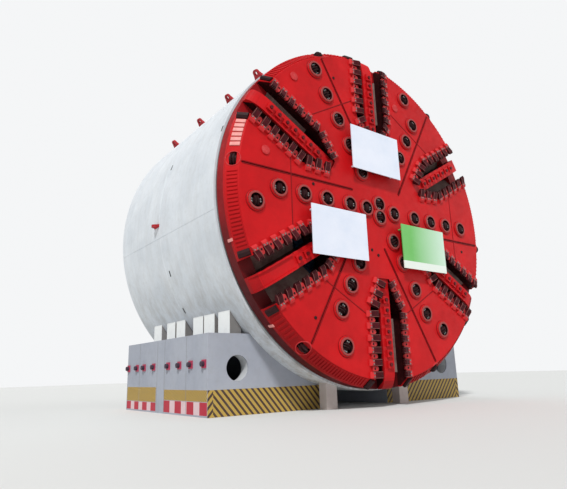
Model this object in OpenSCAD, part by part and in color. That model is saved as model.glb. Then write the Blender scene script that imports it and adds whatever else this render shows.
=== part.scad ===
// Full-face tunnel boring machine: cutterhead on its shield, standing in its cradle.
// Millimetres. X across, Y along the machine's axis with the cutting face at -Y, Z up.
// The origin lies on the floor under the middle of the machine's length.

/* [Cutterhead] */
// Radius of the rim
rim_r = 7500; // [7300:10:7520]
// Radius of the flat face
face_r = 7160; // [7100:10:7200]
// Distance from the rim's front edge forward to the flat face
face_depth = 400; // [360:10:450]
// Depth of the rim's shoulder that the arms carry
shoulder = 150; // [140:5:200]
// Depth of the whole head behind the rim's front edge
head_depth = 600; // [500:10:700]
// Width of the ring behind the rim
ring_w = 600; // [550:10:700]
// Width of the seam grooves along the arms
groove_w = 40; // [20:1:60]
// Depth of the seam grooves along the arms
groove_d = 25; // [8:1:40]
// Distance from an arm's middle to its seam groove
groove_side = 700; // [620:10:800]
// Distance from the axis to where the seam grooves start
groove_from = 1500; // [1400:10:2000]
// Distance from the end of a seam groove to the edge of the face
groove_stop = 100; // [60:10:160]

/* [Openings between the arms] */
// Distance from the axis to the inner end of an opening
slot_in = 3000; // [2900:10:3200]
// Distance from the axis to where an opening reaches its full width
slot_full = 4300; // [4200:10:4500]
// Half the width of an opening
slot_half = 950; // [900:10:1000]
// Half the width of a spoke
spoke_half = 300; // [260:5:320]
// How far a spoke lies behind the flat face
spoke_back = 70; // [40:5:100]
// Distance from the axis to where a spoke begins to curve back to the rim
spoke_bend = 6600; // [6500:10:6800]
// Distance from the axis to the trough on the spoke without a full row of blocks
trough_from = 5450; // [5400:10:5700]
// Thickness of the trough's raised edges
trough_edge = 60; // [30:5:90]
// Number of blocks before the trough
trough_block_n = 4; // [2:1:4]
// Side of the square blocks on the spokes
block_side = 300; // [240:5:330]
// Height of the square blocks on the spokes
block_h = 90; // [60:5:120]
// Pitch of the square blocks along a spoke
block_pitch = 440; // [400:5:460]
// Number of blocks on a spoke
block_n = 7; // [5:1:7]
// Distance from the axis to the first block
block_from = 3900; // [3700:10:4000]
// Radius of the hard insert in a block
insert_r = 75; // [50:1:90]
// Height of the hard insert in a block
insert_h = 50; // [30:1:70]

/* [Knives] */
// Length of a knife along the opening
knife_len = 250; // [220:5:260]
// How far a knife reaches back over the arm
knife_seat = 300; // [240:5:320]
// How far a knife reaches out over the opening
knife_reach = 300; // [240:5:310]
// Height of a knife above the face
knife_h = 190; // [140:5:220]
// Pitch of the knives
knife_pitch = 480; // [460:5:520]
// Number of knives along a straight edge
knife_n = 6; // [4:1:6]
// Number of knives along a slanted edge
knife_slant_n = 3; // [2:1:3]
// Number of teeth on a knife's lip
tooth_n = 4; // [3:1:5]
// Width of the notch between two teeth
tooth_gap = 26; // [16:1:34]
// Depth of that notch
tooth_len = 110; // [70:5:130]
// Width of a guard between two knives
guard_w = 190; // [160:5:200]
// Height of a guard above the face
guard_h = 70; // [50:5:100]
// How far a guard reaches back over the arm
guard_seat = 150; // [100:5:220]
// How far a guard reaches out over the opening
guard_reach = 160; // [120:5:200]
// Thickness of a scraper on the rim
scraper_t = 110; // [80:5:130]
// Width of a scraper along the rim
scraper_w = 260; // [200:5:300]
// Length of a scraper up the cone
scraper_len = 460; // [380:5:480]
// Distance from an opening to the scraper beside it
scraper_gap = 50; // [30:5:80]

/* [Disc cutters] */
// Radius of a disc
disc_r = 241; // [220:1:245]
// Half the distance between the two discs of a cutter
disc_gap = 50; // [45:1:60]
// Thickness of one disc at its hub
disc_t = 80; // [60:1:80]
// Width of a disc's edge
disc_edge = 22; // [14:1:30]
// Height of a disc's shoulder over the hub
disc_root = 30; // [15:1:35]
// Width of the gap between two discs at their shoulders
disc_valley = 16; // [8:1:24]
// Radius of the hub
hub_r = 150; // [120:1:165]
// Radius of the shaft
shaft_r = 60; // [50:1:62]
// Length of a shaft in each cheek
shaft_in = 70; // [50:1:80]
// Depth of a disc's axis behind the surface around its port
disc_back = 100; // [90:1:120]
// The same depth for the discs on the cone of the rim
gauge_back = 86; // [84:1:95]
// Radius of a port
port_r = 270; // [265:1:290]
// Radius of the flange around a port
flange_r = 400; // [370:5:420]
// Height of the flange around a port
flange_h = 60; // [40:5:70]
// Chamfer of the flange's outer edge
flange_cut = 18; // [10:1:24]
// Outer radius of the collar on the flange
collar_r = 345; // [330:5:355]
// Height of the collar above the flange
collar_h = 40; // [25:5:50]
// Chamfer of the collar's edge
collar_cut = 12; // [8:1:16]
// Half the space between the cheeks that carry a disc
cheek_half = 135; // [132:1:150]
// Depth of the pocket behind a port
pocket_depth = 360; // [350:5:380]
// Metal between a port's recess and the bore for the shaft
port_floor = 20; // [10:1:20]
// Radius of a closed plug in the face
plug_r = 190; // [150:5:220]
// Height of a closed plug in the face
plug_h = 30; // [15:5:50]

/* [Boards] */
// Width of a board
board_w = 2930; // [2800:10:3000]
// Height of a board
board_h = 1980; // [1900:10:2050]
// Thickness of a board
board_t = 40; // [20:5:60]
// Distance from the flat face to the front of a board
board_out = 350; // [320:5:400]
// Radius of the tubes that hold a board
board_post_r = 40; // [30:1:60]

/* [Shield] */
// Radius of the shield
shield_r = 7560; // [7540:5:7650]
// Thickness of the shield's shell
shield_t = 90; // [60:5:120]
// Front edge of the shield, behind the rim's front edge
shield_front = 730; // [710:5:800]
// Length of the front shield
front_len = 4900; // [4700:50:5100]
// Length of the rear shield
rear_len = 4590; // [4400:10:4800]
// Depth of the thick lip at the front of the shield
lip_len = 400; // [300:10:500]
// Thickness of the lip
lip_t = 220; // [180:5:260]
// Width of a seam groove along the shield
seam_w = 20; // [10:1:30]
// Depth of a seam groove along the shield
seam_d = 10; // [5:1:20]
// Height of the stiffening rings inside the shield
rib_h = 420; // [300:10:500]
// Thickness of the stiffening rings
rib_t = 60; // [40:5:80]
// Distance from the front shield's end to its stiffening ring
rib_in = 400; // [300:10:500]

/* [Drive] */
// Distance from the shield's front edge to the bulkhead
bulkhead_at = 1870; // [1700:10:2000]
// Thickness of the bulkhead
bulkhead_t = 80; // [60:5:120]
// Outer radius of the main drive's housing
drive_r = 3400; // [3200:10:3500]
// Radius of the hollow through the main drive
drive_bore = 2300; // [2200:10:2400]
// Length of the main drive's housing
drive_len = 2500; // [2300:10:2700]
// Width of the main drive's flange
drive_flange_w = 260; // [200:10:320]
// Thickness of the main drive's flange
drive_flange_t = 100; // [80:5:120]
// Gap between the main drive and the hole in the bulkhead
bulkhead_gap = 60; // [40:5:80]
// How much wider the ring that carries the head is than the hollow
carrier_in = 100; // [80:5:120]
// Distance from the head's back to the main drive
drive_gap = 1100; // [1000:10:1200]
// Wall of the ring that carries the head
carrier_t = 500; // [400:10:600]
// Number of drive motors
motor_n = 14; // [10:1:16]
// Radius of a drive motor
motor_r = 330; // [280:5:360]
// Length of a drive motor
motor_len = 1250; // [1000:10:1400]

/* [Thrust cylinders] */
// Number of pairs of thrust cylinders
ram_n = 16; // [12:1:18]
// Distance from the shell's inner face to the middles of the cylinders
ram_in = 390; // [320:10:470]
// Spacing of the two cylinders of a pair
ram_space = 560; // [500:5:620]
// Outer radius of a cylinder
barrel_r = 190; // [170:1:200]
// Radius of a rod
rod_r = 130; // [110:1:140]
// Stroke of the cylinders
ram_stroke = 2200; // [2000:10:2300]
// Length of a rod that stays in its cylinder when it is out
rod_hold = 400; // [300:10:450]
// Length of a rod that shows when it is in
rod_show = 120; // [80:10:160]
// Thickness of a cylinder's bottom
barrel_base = 100; // [60:5:140]
// Distance from the rear shield's front edge to the ring that the cylinders stand on
frame_in = 1000; // [900:10:1100]
// Thickness of that ring
frame_t = 120; // [80:5:160]
// How far that ring reaches in past the cylinders
frame_lap = 250; // [200:10:300]
// Thickness of a thrust shoe
shoe_t = 180; // [120:5:220]
// Width of a thrust shoe
shoe_w = 1150; // [1000:10:1250]
// Height of a thrust shoe
shoe_h = 480; // [400:10:520]

/* [Man lock and pipes] */
// Radius of the man lock
lock_r = 900; // [800:10:950]
// Length of the man lock
lock_len = 3200; // [2800:10:3600]
// Wall of the man lock
lock_t = 60; // [40:5:80]
// Height of the man lock above the machine's axis
lock_up = 4700; // [4500:10:4800]
// Radius of the door
door_r = 420; // [380:5:450]
// Thickness of the door
door_t = 70; // [50:5:90]
// How far the door covers the edge of its opening
door_lap = 40; // [30:5:60]
// Thickness of the strap across the door
strap_t = 40; // [25:5:45]
// Distance from the door's middle to its hinge
door_hinge = 490; // [480:5:520]
// How far the hinge's axis stands out from the door
hinge_out = 20; // [12:1:25]
// Radius of the hinge's knuckles
knuckle_r = 35; // [28:1:38]
// Radius of the hinge's pin
pin_r = 16; // [12:1:18]
// Length of the hinge's middle knuckle
knuckle_len = 120; // [80:5:160]
// Outer radius of a slurry pipe
pipe_r = 270; // [240:5:300]
// Wall of a slurry pipe
pipe_t = 25; // [15:1:40]
// Radius of a pipe flange
pipe_flange_r = 390; // [375:5:410]
// Thickness of a pipe flange
pipe_flange_t = 50; // [40:2:60]
// Circle of the bolts in a pipe flange
pipe_pcd = 670; // [650:2:680]
// Radius of a bolt hole in a pipe flange
pipe_bolt_r = 18; // [14:1:20]
// Number of bolts in a pipe flange
pipe_bolt_n = 16; // [12:1:20]
// Distance between the two pipes
pipe_space = 2600; // [2400:20:2800]
// Depth of the pipes below the machine's axis
pipe_down = 5000; // [4800:10:5200]
// Distance from the pipes' flanges to the shield's end
pipe_in = 60; // [40:5:120]

/* [Lifting lugs] */
// Height of a lug above the shell
lug_h = 400; // [340:5:440]
// Length of a lug
lug_len = 520; // [460:5:600]
// Thickness of a lug
lug_t = 110; // [80:5:140]
// Radius of the eye in a lug
eye_r = 85; // [60:1:90]
// Metal around the eye
eye_wall = 75; // [60:1:80]
// Height of a lug's straight foot
lug_foot = 30; // [15:1:45]
// Height of a side lug above the shell
side_lug_h = 255; // [250:1:270]

/* [Cradle] */
// Space between the shield and the floor
floor_gap = 633; // [540:1:740]
// How far the cradle's sides stand in from the shield's sides
cradle_inset = 325; // [260:5:460]
// Height of the cradle's walls
cradle_h = 2940; // [2800:10:3000]
// Front wall of the cradle, behind the shield's front edge
cradle_in = 945; // [900:5:1100]
// Length of the cradle
cradle_len = 7950; // [7700:10:8100]
// Thickness of the cradle's walls
cradle_t = 60; // [40:5:80]
// Distance from the middle to a half's inner wall
cradle_mid = 1900; // [1800:10:2050]
// Radius of a manhole in the cradle's end walls
manhole_r = 475; // [420:5:500]
// Distance from a side of the cradle in to its manholes
manhole_in = 1235; // [1135:5:1335]
// Height of a manhole's centre
manhole_z = 1680; // [1600:10:1800]
// Depth of the lining behind a manhole
lining_len = 450; // [300:10:600]
// Thickness of the lining
lining_t = 25; // [15:1:40]
// Width of a front prop
prop_w = 560; // [400:10:600]
// Depth of a front prop
prop_d = 420; // [300:10:500]
// Distance from the middle to a front prop
prop_x = 2130; // [2080:10:2140]
// Distance from the shield's front edge to the front props
prop_in = 160; // [120:10:240]
// Height of the tie heads in the cradle's sides
tie_z = 1850; // [1700:10:2000]
// Side of the square plate of a tie head
tie_plate = 300; // [240:5:340]
// Thickness of the plate of a tie head
tie_plate_t = 40; // [20:2:60]
// Radius of the cap of a tie head
tie_cap_r = 95; // [70:1:110]
// Height of the cap of a tie head
tie_cap_h = 110; // [80:5:140]
// Distance from a side of the cradle in to the stools between cradle and shield
stool_in = 1054; // [1035:1:1065]
// Depth of a stool across the machine
stool_d = 500; // [400:10:560]
// Length of a stool along the machine
stool_len = 880; // [800:10:900]

/* [Hidden] */
$fn = 96;
seat = 0.3; // clearance between pieces that turn or rest on each other
run = 1; // clearance of a shaft or rod in its hole
full = 2 * rim_r; // longer than anything in the head
sector = 60; // angle from one arm to the next
fine = 256; // facets of the large cylinders where other pieces meet them
sunk = 5; // how deep a welded piece reaches into the plate under it
scraper_root = 40; // how far a scraper's outline reaches back, before the cone trims it
collar_up = flange_h + collar_h; // height of a port's mouth above the face
ring_r = rim_r - ring_w; // inner radius of the ring behind the rim
ram_circle = shield_r - shield_t - ram_in; // radius of the circle on which the cylinders lie
axis_h = shield_r + floor_gap; // height of the machine's axis above the floor
cradle_side = shield_r - cradle_inset; // from the middle to the cradle's sides
manhole_x = cradle_side - manhole_in;
stool_x = cradle_side - stool_in; // outer face of the stools
knife_span = (knife_n - 1) * knife_pitch; // from the first to the last knife on a straight edge
knife_from = slot_full + (face_r - slot_full - knife_span) / 2; // distance from the axis to that first knife

// Places along the axis, measured from the rim's front edge
face_y = -face_depth;
shell_joint = shield_front + front_len; // where the front and rear shells meet
shield_end = shell_joint + rear_len;
mid_y = (face_y - board_out + shield_end) / 2;
drive_y = head_depth + drive_gap + seat;
bulkhead_y = shield_front + bulkhead_at;
cradle_y = shield_front + cradle_in;
frame_y = shell_joint + frame_in; // face of the ring that the cylinders stand on
barrel_len = barrel_base + ram_stroke + rod_hold;
shoe_y = frame_y + barrel_len + rod_show;
hinge_y = seat + door_t + hinge_out; // the door's hinge, behind the man lock's end wall

// The cone between the flat face and the rim
cone_tilt = atan2(face_depth, rim_r - face_r);
cone_r = (rim_r + face_r) / 2;
cone_y = -face_depth / 2;
slant = atan2(slot_half - spoke_half, slot_full - slot_in);

// Arms: angle, distance to the seam with the centre, radii of the cutters in its row
ARM_ANGLE = 0;
ARM_SEAM = 1;
ARM_ROW = 2;
ARMS = [
    [0, 5210, [920, 2300, 3470, 4620, 5800]],
    [60, 5010, [3300, 4450, 5600]],
    [120, 4910, [1850, 3140, 4330, 5500, 6670]],
    [180, 4800, [790, 1760, 3030, 4200, 5400]],
    [240, 4530, [2860, 3950, 5120]],
    [300, 4460, [1500, 2540, 3870, 5050]],
];
// Outer cutters beside the rows: arm, angle from the arm's middle, distance in from the edge of the face
OUTER = [[1, 9, 610], [3, 6, 660], [4, 7.5, 840], [5, 5.5, 960]];
// Closed plugs: arm, angle from the arm's middle, distance in from the edge of the face
PLUGS = [[2, 11.7, 410], [3, -13.2, 1010], [1, 13.1, 1450]];
// Angle from an arm's middle to its cutter on the cone
gauge_turn = -6.5;
// Distance of the two centre cutters from the axis
centre_pair = 300;
// A knife's outline: share of its seat (or below 0, of its reach), share of its height (or below 0, of its root)
KNIFE = [
    [1, 0], [1, 0.3], [0.75, 0.55], [0.15, 0.6], [-0.1, 0.75], [-0.6, 1], [-1, 0.9], [-1, 0.7], [-0.8, 0.25],
    [-0.3, -0.75], [0, -1], [0, 0],
];
knife_clear = 15; // space between a knife's root and the front of the spokes
knife_root = spoke_back - knife_clear; // how far a knife reaches down into the opening
// A rim scraper's outline: share of its width towards the opening, share of its thickness
SCRAPER = [[0.5, 0.5], [0.35, 1], [-0.1, 0.95], [-0.5, 0.45]];
spoke_bend_step = 10; // angle between the points of a spoke's curved end
PLAIN_SPOKE = 3; // number of the opening whose spoke has the trough

// Boards: middle across, middle above the axis, places of the tubes behind it
BOARDS = [
    [-260, 2560, [[-1460, 1750], [940, 1750], [940, 3350], [-1300, 3300]]],
    [-2660, -1440, [[-3900, -600], [-1400, -650], [-1900, -2150]]],
    [2450, -1500, [[3700, -600], [1200, -700], [2000, -2350]]],
];

// Lugs on the shield: angle, distance behind the shield's front edge
LUGS = [[132, 500], [132, 2900], [132, 5700], [132, 8700], [48, 500], [48, 2900], [48, 5700], [48, 8700]];
SIDE_LUGS = [[182, 5150], [-2, 5150]];
seam_n = 9; // plates around the shield
seam_from = 186.5; // angle of the first seam
// Stools and tie heads: share of the cradle's length to measure from, distance behind that place
STOOLS = [[0, 690], [0, 1870], [0, 2840], [0.5, 515], [0.5, 1535], [1, -950]];
TIES = [[0, 265], [0, 1325], [0, 2295], [0.5, -640], [0.5, 850], [0.5, 1920], [1, -1225], [1, -170]];

// Frames: the machine's axis, and a direction around it with X pointing out from the axis
module machine() {
    translate([0, -mid_y, axis_h]) children();
}

module at_angle(a) {
    machine() rotate([0, -a, 0]) children();
}

// An outline in the plane of the face, drawn out from y0 back to y1
module plate(y0, y1) {
    translate([0, y1, 0]) rotate([90, 0, 0]) linear_extrude(y1 - y0) children();
}

// A profile of radius and place along the axis, turned around the axis
module turned() {
    rotate([-90, 0, 0]) rotate_extrude($fn = fine) children();
}

// Head: the profile of the arms, and that of the spokes with its front at y
module head_profile() {
    polygon([
        [0, face_y], [face_r, face_y], [rim_r, 0], [rim_r, shoulder], [ring_r, shoulder],
        [ring_r, head_depth], [0, head_depth],
    ]);
}

module spoke_profile(front) {
    polygon([
        [0, front],
        for (t = [0:spoke_bend_step:90]) [spoke_bend + (rim_r - spoke_bend) * sin(t), front * cos(t)],
        [rim_r, shoulder], [ring_r, shoulder], [ring_r, head_depth], [0, head_depth],
    ]);
}

module slot_outline() {
    polygon([
        [slot_in, -spoke_half], [slot_full, -slot_half], [full, -slot_half],
        [full, slot_half], [slot_full, slot_half], [slot_in, spoke_half],
    ]);
}

module slots() {
    for (arm = ARMS) rotate([0, -arm[ARM_ANGLE] - sector / 2, 0])
        plate(face_y - 1, head_depth + 1) slot_outline();
}

// A port, drawn at the middle of its mouth with the surface in the XZ plane and -Y outward
module on_face(a, r) {
    rotate([0, -a, 0]) translate([r, face_y, 0]) children();
}

module on_cone(a) {
    rotate([0, -a, 0]) translate([cone_r, cone_y, 0]) rotate([0, 0, cone_tilt]) children();
}

module pad(r, h) {
    translate([0, sunk, 0]) rotate([90, 0, 0]) cylinder(r = r, h = sunk + h);
}

// A port's flange with its raised collar
module port_ring() {
    rotate([90, 0, 0]) rotate_extrude() polygon([
        [0, -sunk], [flange_r, -sunk], [flange_r, flange_h - flange_cut], [flange_r - flange_cut, flange_h],
        [collar_r, flange_h], [collar_r, collar_up - collar_cut], [collar_r - collar_cut, collar_up],
        [0, collar_up],
    ]);
}

module port_hole(back, rise) {
    recess = back - shaft_r - port_floor;
    translate([0, recess, 0]) rotate([90, 0, 0]) cylinder(r = port_r, h = recess + rise + 1);
    intersection() {
        translate([0, pocket_depth, 0]) rotate([90, 0, 0]) cylinder(r = port_r, h = pocket_depth);
        cube([2 * cheek_half, 3 * pocket_depth, 4 * port_r], center = true);
    }
    translate([0, back, 0]) rotate([0, 90, 0]) cylinder(r = shaft_r + run, h = 2 * port_r, center = true);
}

// The ports of one arm that lie beyond its seam, or before it
module arm_ports(i, beyond) {
    arm = ARMS[i];
    for (r = arm[ARM_ROW]) if ((r > arm[ARM_SEAM]) == beyond) on_face(arm[ARM_ANGLE], r) children();
    if (beyond) for (o = OUTER) if (o[0] == i) on_face(arm[ARM_ANGLE] + o[1], face_r - o[2]) children();
}

module seam_groove(a) {
    rotate([0, -a, 0]) translate([groove_from, face_y - 1, -groove_side - groove_w / 2])
        cube([face_r - groove_stop - groove_from, groove_d + 1, groove_w]);
}

module head_centre() {
    color("red") machine() difference() {
        union() {
            plate(face_y, head_depth)
                polygon([for (arm = ARMS, side = [-1, 1]) arm[ARM_SEAM] / cos(sector / 2)
                    * [cos(arm[ARM_ANGLE] + side * sector / 2), sin(arm[ARM_ANGLE] + side * sector / 2)]]);
            for (i = [0:5]) arm_ports(i, false) port_ring();
            for (side = [-1, 1]) on_face(90, side * centre_pair) port_ring();
        }
        slots();
        for (i = [0:5]) arm_ports(i, false) port_hole(disc_back, collar_up);
        for (side = [-1, 1]) on_face(90, side * centre_pair) port_hole(disc_back, collar_up);
        for (arm = ARMS) seam_groove(arm[ARM_ANGLE]);
    }
}

module main_arm(i) {
    a = ARMS[i][ARM_ANGLE];
    from = ARMS[i][ARM_SEAM] + seat;
    color("red") machine() difference() {
        union() {
            intersection() {
                turned() head_profile();
                rotate([0, -a, 0]) plate(face_y - 1, head_depth + 1)
                    polygon([[from, -from * tan(sector / 2)], [full, -full * tan(sector / 2)],
                             [full, full * tan(sector / 2)], [from, from * tan(sector / 2)]]);
            }
            arm_ports(i, true) port_ring();
            for (p = PLUGS) if (p[0] == i) on_face(a + p[1], face_r - p[2]) pad(plug_r, plug_h);
        }
        slots();
        arm_ports(i, true) port_hole(disc_back, collar_up);
        on_cone(a + gauge_turn) port_hole(gauge_back, 0);
        seam_groove(a);
    }
}

// Spokes in the middle of the openings, with their square blocks
module on_spoke(i) {
    rotate([0, -ARMS[i][ARM_ANGLE] - sector / 2, 0]) children();
}

module spoke_beam(i) {
    on_spoke(i) intersection() {
        turned() spoke_profile(face_y + spoke_back);
        translate([slot_in, face_y, -spoke_half]) cube([full, full, 2 * spoke_half]);
    }
}

module block_places(i) {
    last = (i == PLAIN_SPOKE ? trough_block_n : block_n) - 1;
    on_spoke(i) for (k = [0:last]) translate([block_from + k * block_pitch, face_y + spoke_back, 0]) children();
}

module spoke_blocks(i) {
    block_places(i) translate([-block_side / 2, -block_h, -block_side / 2])
        cube([block_side, block_h + sunk, block_side]);
}

module spokes() {
    color("red") machine() for (i = [0:5]) if (i != PLAIN_SPOKE) {
        spoke_beam(i);
        spoke_blocks(i);
    }
}

module spoke_inserts() {
    color("dimgray") machine() for (i = [0:5]) block_places(i)
        translate([0, -block_h, 0]) rotate([90, 0, 0]) cylinder(r = insert_r, h = insert_h);
}

// The spoke that ends in a trough between two raised edges
module spoke_plain() {
    color("red") machine() {
        spoke_beam(PLAIN_SPOKE);
        spoke_blocks(PLAIN_SPOKE);
        on_spoke(PLAIN_SPOKE) intersection() {
            turned() spoke_profile(face_y);
            for (side = [0, 1]) mirror([0, 0, side]) translate([trough_from, face_y - 1, spoke_half - trough_edge])
                cube([full, -face_y, trough_edge]);
        }
    }
}

module rim_ring() {
    color("darkred") machine() turned()
        translate([ring_r, shoulder]) square([ring_w, head_depth - shoulder]);
}

// A toothed knife hooked over an edge that runs along X, with the opening towards -Z
module knife() {
    pitch = (knife_len + tooth_gap) / tooth_n;
    translate([0, -seat, -seat]) difference() {
        rotate([0, 90, 0]) linear_extrude(knife_len, center = true) polygon([
            for (p = KNIFE) [-p[0] * (p[0] > 0 ? knife_seat : knife_reach), -p[1] * (p[1] > 0 ? knife_h : knife_root)],
        ]);
        for (k = [1:tooth_n - 1])
            translate([k * pitch - knife_len / 2 - tooth_gap, -2 * knife_h, -knife_reach - 1])
                cube([tooth_gap, 3 * knife_h, tooth_len + 1]);
    }
}

// A guard on the edge between two knives, with a round end over the opening
module guard() {
    round_r = guard_w / 2;
    rotate([90, 0, 0]) translate([0, round_r - guard_reach, 0]) {
        translate([-round_r, 0, 0]) cube([guard_w, guard_reach + guard_seat - round_r, guard_h]);
        cylinder(r = round_r, h = guard_h);
    }
}

// Places along both edges of an opening, `first` pitches on from the first knife, and less by `fewer`
module edge_places(i, first, fewer) {
    edge = (slot_full - slot_in) / cos(slant);
    at_angle(ARMS[i][ARM_ANGLE] + sector / 2) for (side = [0, 1]) mirror([0, 0, side]) {
        for (k = [0:knife_n - 1 - fewer]) translate([knife_from + (k + first) * knife_pitch, face_y, slot_half])
            children();
        for (k = [0:knife_slant_n - 1 - fewer]) translate([slot_in, face_y, spoke_half]) rotate([0, -slant, 0])
            translate([edge / 2 + (k + first - (knife_slant_n - 1) / 2) * knife_pitch, 0, 0]) children();
    }
}

module knives(i) {
    color("#2b2224") edge_places(i, 0, 0) knife();
}

module edge_guards() {
    color("red") for (i = [0:5]) edge_places(i, 0.5, 1) guard();
}

module rim_scrapers() {
    turn = asin((slot_half + scraper_gap) / cone_r) + asin(scraper_w / 2 / cone_r);
    color("#2b2224") machine() difference() {
        for (arm = ARMS, side = [-1, 1]) on_cone(arm[ARM_ANGLE] + sector / 2 + side * turn)
            rotate([0, 90, 0]) linear_extrude(scraper_len, center = true) polygon([
                [side * scraper_w / 2, scraper_root],
                for (p = SCRAPER) [side * p[0] * scraper_w, -p[1] * scraper_t],
                [-side * scraper_w / 2, scraper_root],
            ]);
        turned() head_profile();
    }
}

module board(i, tint) {
    b = BOARDS[i];
    color(tint) machine() {
        translate([b[0] - board_w / 2, face_y - board_out, b[1] - board_h / 2]) cube([board_w, board_t, board_h]);
        for (p = b[2]) translate([p[0], face_y, p[1]]) rotate([90, 0, 0])
            cylinder(r = board_post_r, h = board_out - board_t / 2);
    }
}

// The ring on which the head turns
module head_carrier() {
    color("darkred") machine() turned()
        translate([drive_bore + carrier_in, head_depth]) square([carrier_t, drive_gap]);
}

// A twin disc cutter on its shaft, its axis along X
module cutter() {
    end = cheek_half - seat;
    out = disc_gap + disc_t / 2;
    in = disc_valley / 2;
    foot = hub_r + disc_root;
    rotate([0, 90, 0]) {
        rotate_extrude() polygon([
            [0, -end], [hub_r, -end], [hub_r, -out], [foot, -out],
            [disc_r, -disc_gap - disc_edge / 2], [disc_r, -disc_gap + disc_edge / 2], [foot, -in], [foot, in],
            [disc_r, disc_gap - disc_edge / 2], [disc_r, disc_gap + disc_edge / 2], [foot, out], [hub_r, out],
            [hub_r, end], [0, end],
        ]);
        cylinder(r = shaft_r, h = 2 * (cheek_half + shaft_in), center = true);
    }
}

module discs_arm(i) {
    color("#33282a") machine() for (r = ARMS[i][ARM_ROW]) on_face(ARMS[i][ARM_ANGLE], r)
        translate([0, disc_back, 0]) cutter();
}

module discs_centre() {
    color("#33282a") machine() for (side = [-1, 1]) on_face(90, side * centre_pair)
        translate([0, disc_back, 0]) cutter();
}

module disc_outer(i) {
    color("#33282a") machine() for (o = OUTER) if (o[0] == i) on_face(ARMS[i][ARM_ANGLE] + o[1], face_r - o[2])
        translate([0, disc_back, 0]) cutter();
}

module disc_rim(i) {
    color("#33282a") machine() on_cone(ARMS[i][ARM_ANGLE] + gauge_turn)
        translate([0, gauge_back, 0]) cutter();
}

// Shield
module shell_grooves(y0, y1) {
    for (k = [0:seam_n - 1]) rotate([0, -seam_from - k * 360 / seam_n, 0])
        translate([shield_r - seam_d, y0 - 1, -seam_w / 2]) cube([seam_d + 10, y1 - y0 + 2, seam_w]);
}

module shell(y0, y1) {
    color("white") machine() difference() {
        turned() translate([shield_r - shield_t, y0]) square([shield_t, y1 - y0]);
        shell_grooves(y0, y1);
    }
}

// Rings inside the shell: the lip, two stiffeners and the ring that the thrust cylinders stand on
module shield_rings() {
    color("white") machine() {
        ring_inside(lip_t - shield_t, shield_front, lip_len);
        ring_inside(rib_h, bulkhead_y + bulkhead_t + seat, rib_t);
        ring_inside(rib_h, shell_joint - rib_in - rib_t, rib_t);
        ring_inside(ram_in + barrel_r + frame_lap, frame_y - frame_t - seat, frame_t);
    }
}

module ring_inside(width, y, len) {
    turned() translate([shield_r - shield_t - width, y]) square([width - seat, len]);
}

module bulkhead() {
    hole = drive_r + bulkhead_gap;
    color("gainsboro") machine() turned()
        translate([hole, bulkhead_y]) square([shield_r - shield_t - hole, bulkhead_t]);
}

module main_drive() {
    color("lightsteelblue") machine() turned() {
        translate([drive_bore, drive_y]) square([drive_r - drive_bore, drive_len]);
        translate([drive_bore, bulkhead_y - drive_flange_t])
            square([drive_r + drive_flange_w - drive_bore, drive_flange_t]);
    }
}

module drive_motors() {
    color("steelblue") machine() for (k = [0:motor_n - 1]) rotate([0, -k * 360 / motor_n, 0])
        translate([(drive_r + drive_bore) / 2, drive_y + drive_len + seat, 0]) rotate([-90, 0, 0])
            cylinder(r = motor_r, h = motor_len);
}

// Thrust cylinders in pairs, and the shoes that their rods carry
module ram_places() {
    for (k = [0:ram_n - 1]) rotate([0, -(k + 0.5) * 360 / ram_n, 0]) translate([ram_circle, 0, 0]) children();
}

module thrust_cylinders() {
    color("slategray") machine() ram_places() for (side = [-1, 1])
        translate([0, frame_y, side * ram_space / 2]) rotate([-90, 0, 0]) difference() {
            cylinder(r = barrel_r, h = barrel_len);
            translate([0, 0, barrel_base]) cylinder(r = rod_r + run, h = barrel_len);
        }
}

module thrust_shoes() {
    color("silver") machine() ram_places() {
        for (side = [-1, 1]) translate([0, shoe_y, side * ram_space / 2]) rotate([90, 0, 0])
            cylinder(r = rod_r, h = shoe_y - frame_y - barrel_base - seat);
        translate([-shoe_h / 2, shoe_y, -shoe_w / 2]) cube([shoe_h, shoe_t, shoe_w]);
    }
}

// The man lock's end wall: X across, Y out of the lock, Z up
module lock_end() {
    machine() translate([0, bulkhead_y + bulkhead_t + lock_len, lock_up]) children();
}

module man_lock() {
    ear_len = knuckle_len / 2;
    color("gainsboro") lock_end() {
        translate([0, -lock_len, 0]) rotate([-90, 0, 0]) difference() {
            cylinder(r = lock_r, h = lock_len);
            translate([0, 0, lock_t]) cylinder(r = lock_r - lock_t, h = lock_len - 2 * lock_t);
            cylinder(r = door_r - door_lap, h = 3 * lock_len, center = true);
        }
        for (side = [-1, 1]) translate([-door_hinge, 0, side * (knuckle_len / 2 + run + ear_len / 2)]) {
            translate([0, hinge_y, 0]) cylinder(r = knuckle_r, h = ear_len, center = true);
            translate([-knuckle_r, 0, -ear_len / 2]) cube([2 * knuckle_r, hinge_y, ear_len]);
        }
        translate([-door_hinge, hinge_y, 0]) cylinder(r = pin_r, h = 2 * (knuckle_len + run), center = true);
    }
}

module man_lock_door() {
    color("gold") lock_end() difference() {
        union() {
            translate([0, seat, 0]) rotate([-90, 0, 0]) cylinder(r = door_r, h = door_t);
            translate([-door_hinge, seat + door_t - sunk, -knuckle_len / 2])
                cube([door_hinge + door_r / 2, strap_t + sunk, knuckle_len]);
            translate([-door_hinge, hinge_y, 0]) cylinder(r = knuckle_r, h = knuckle_len, center = true);
        }
        translate([-door_hinge, hinge_y, 0]) cylinder(r = pin_r + run, h = 2 * knuckle_len, center = true);
    }
}

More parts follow.
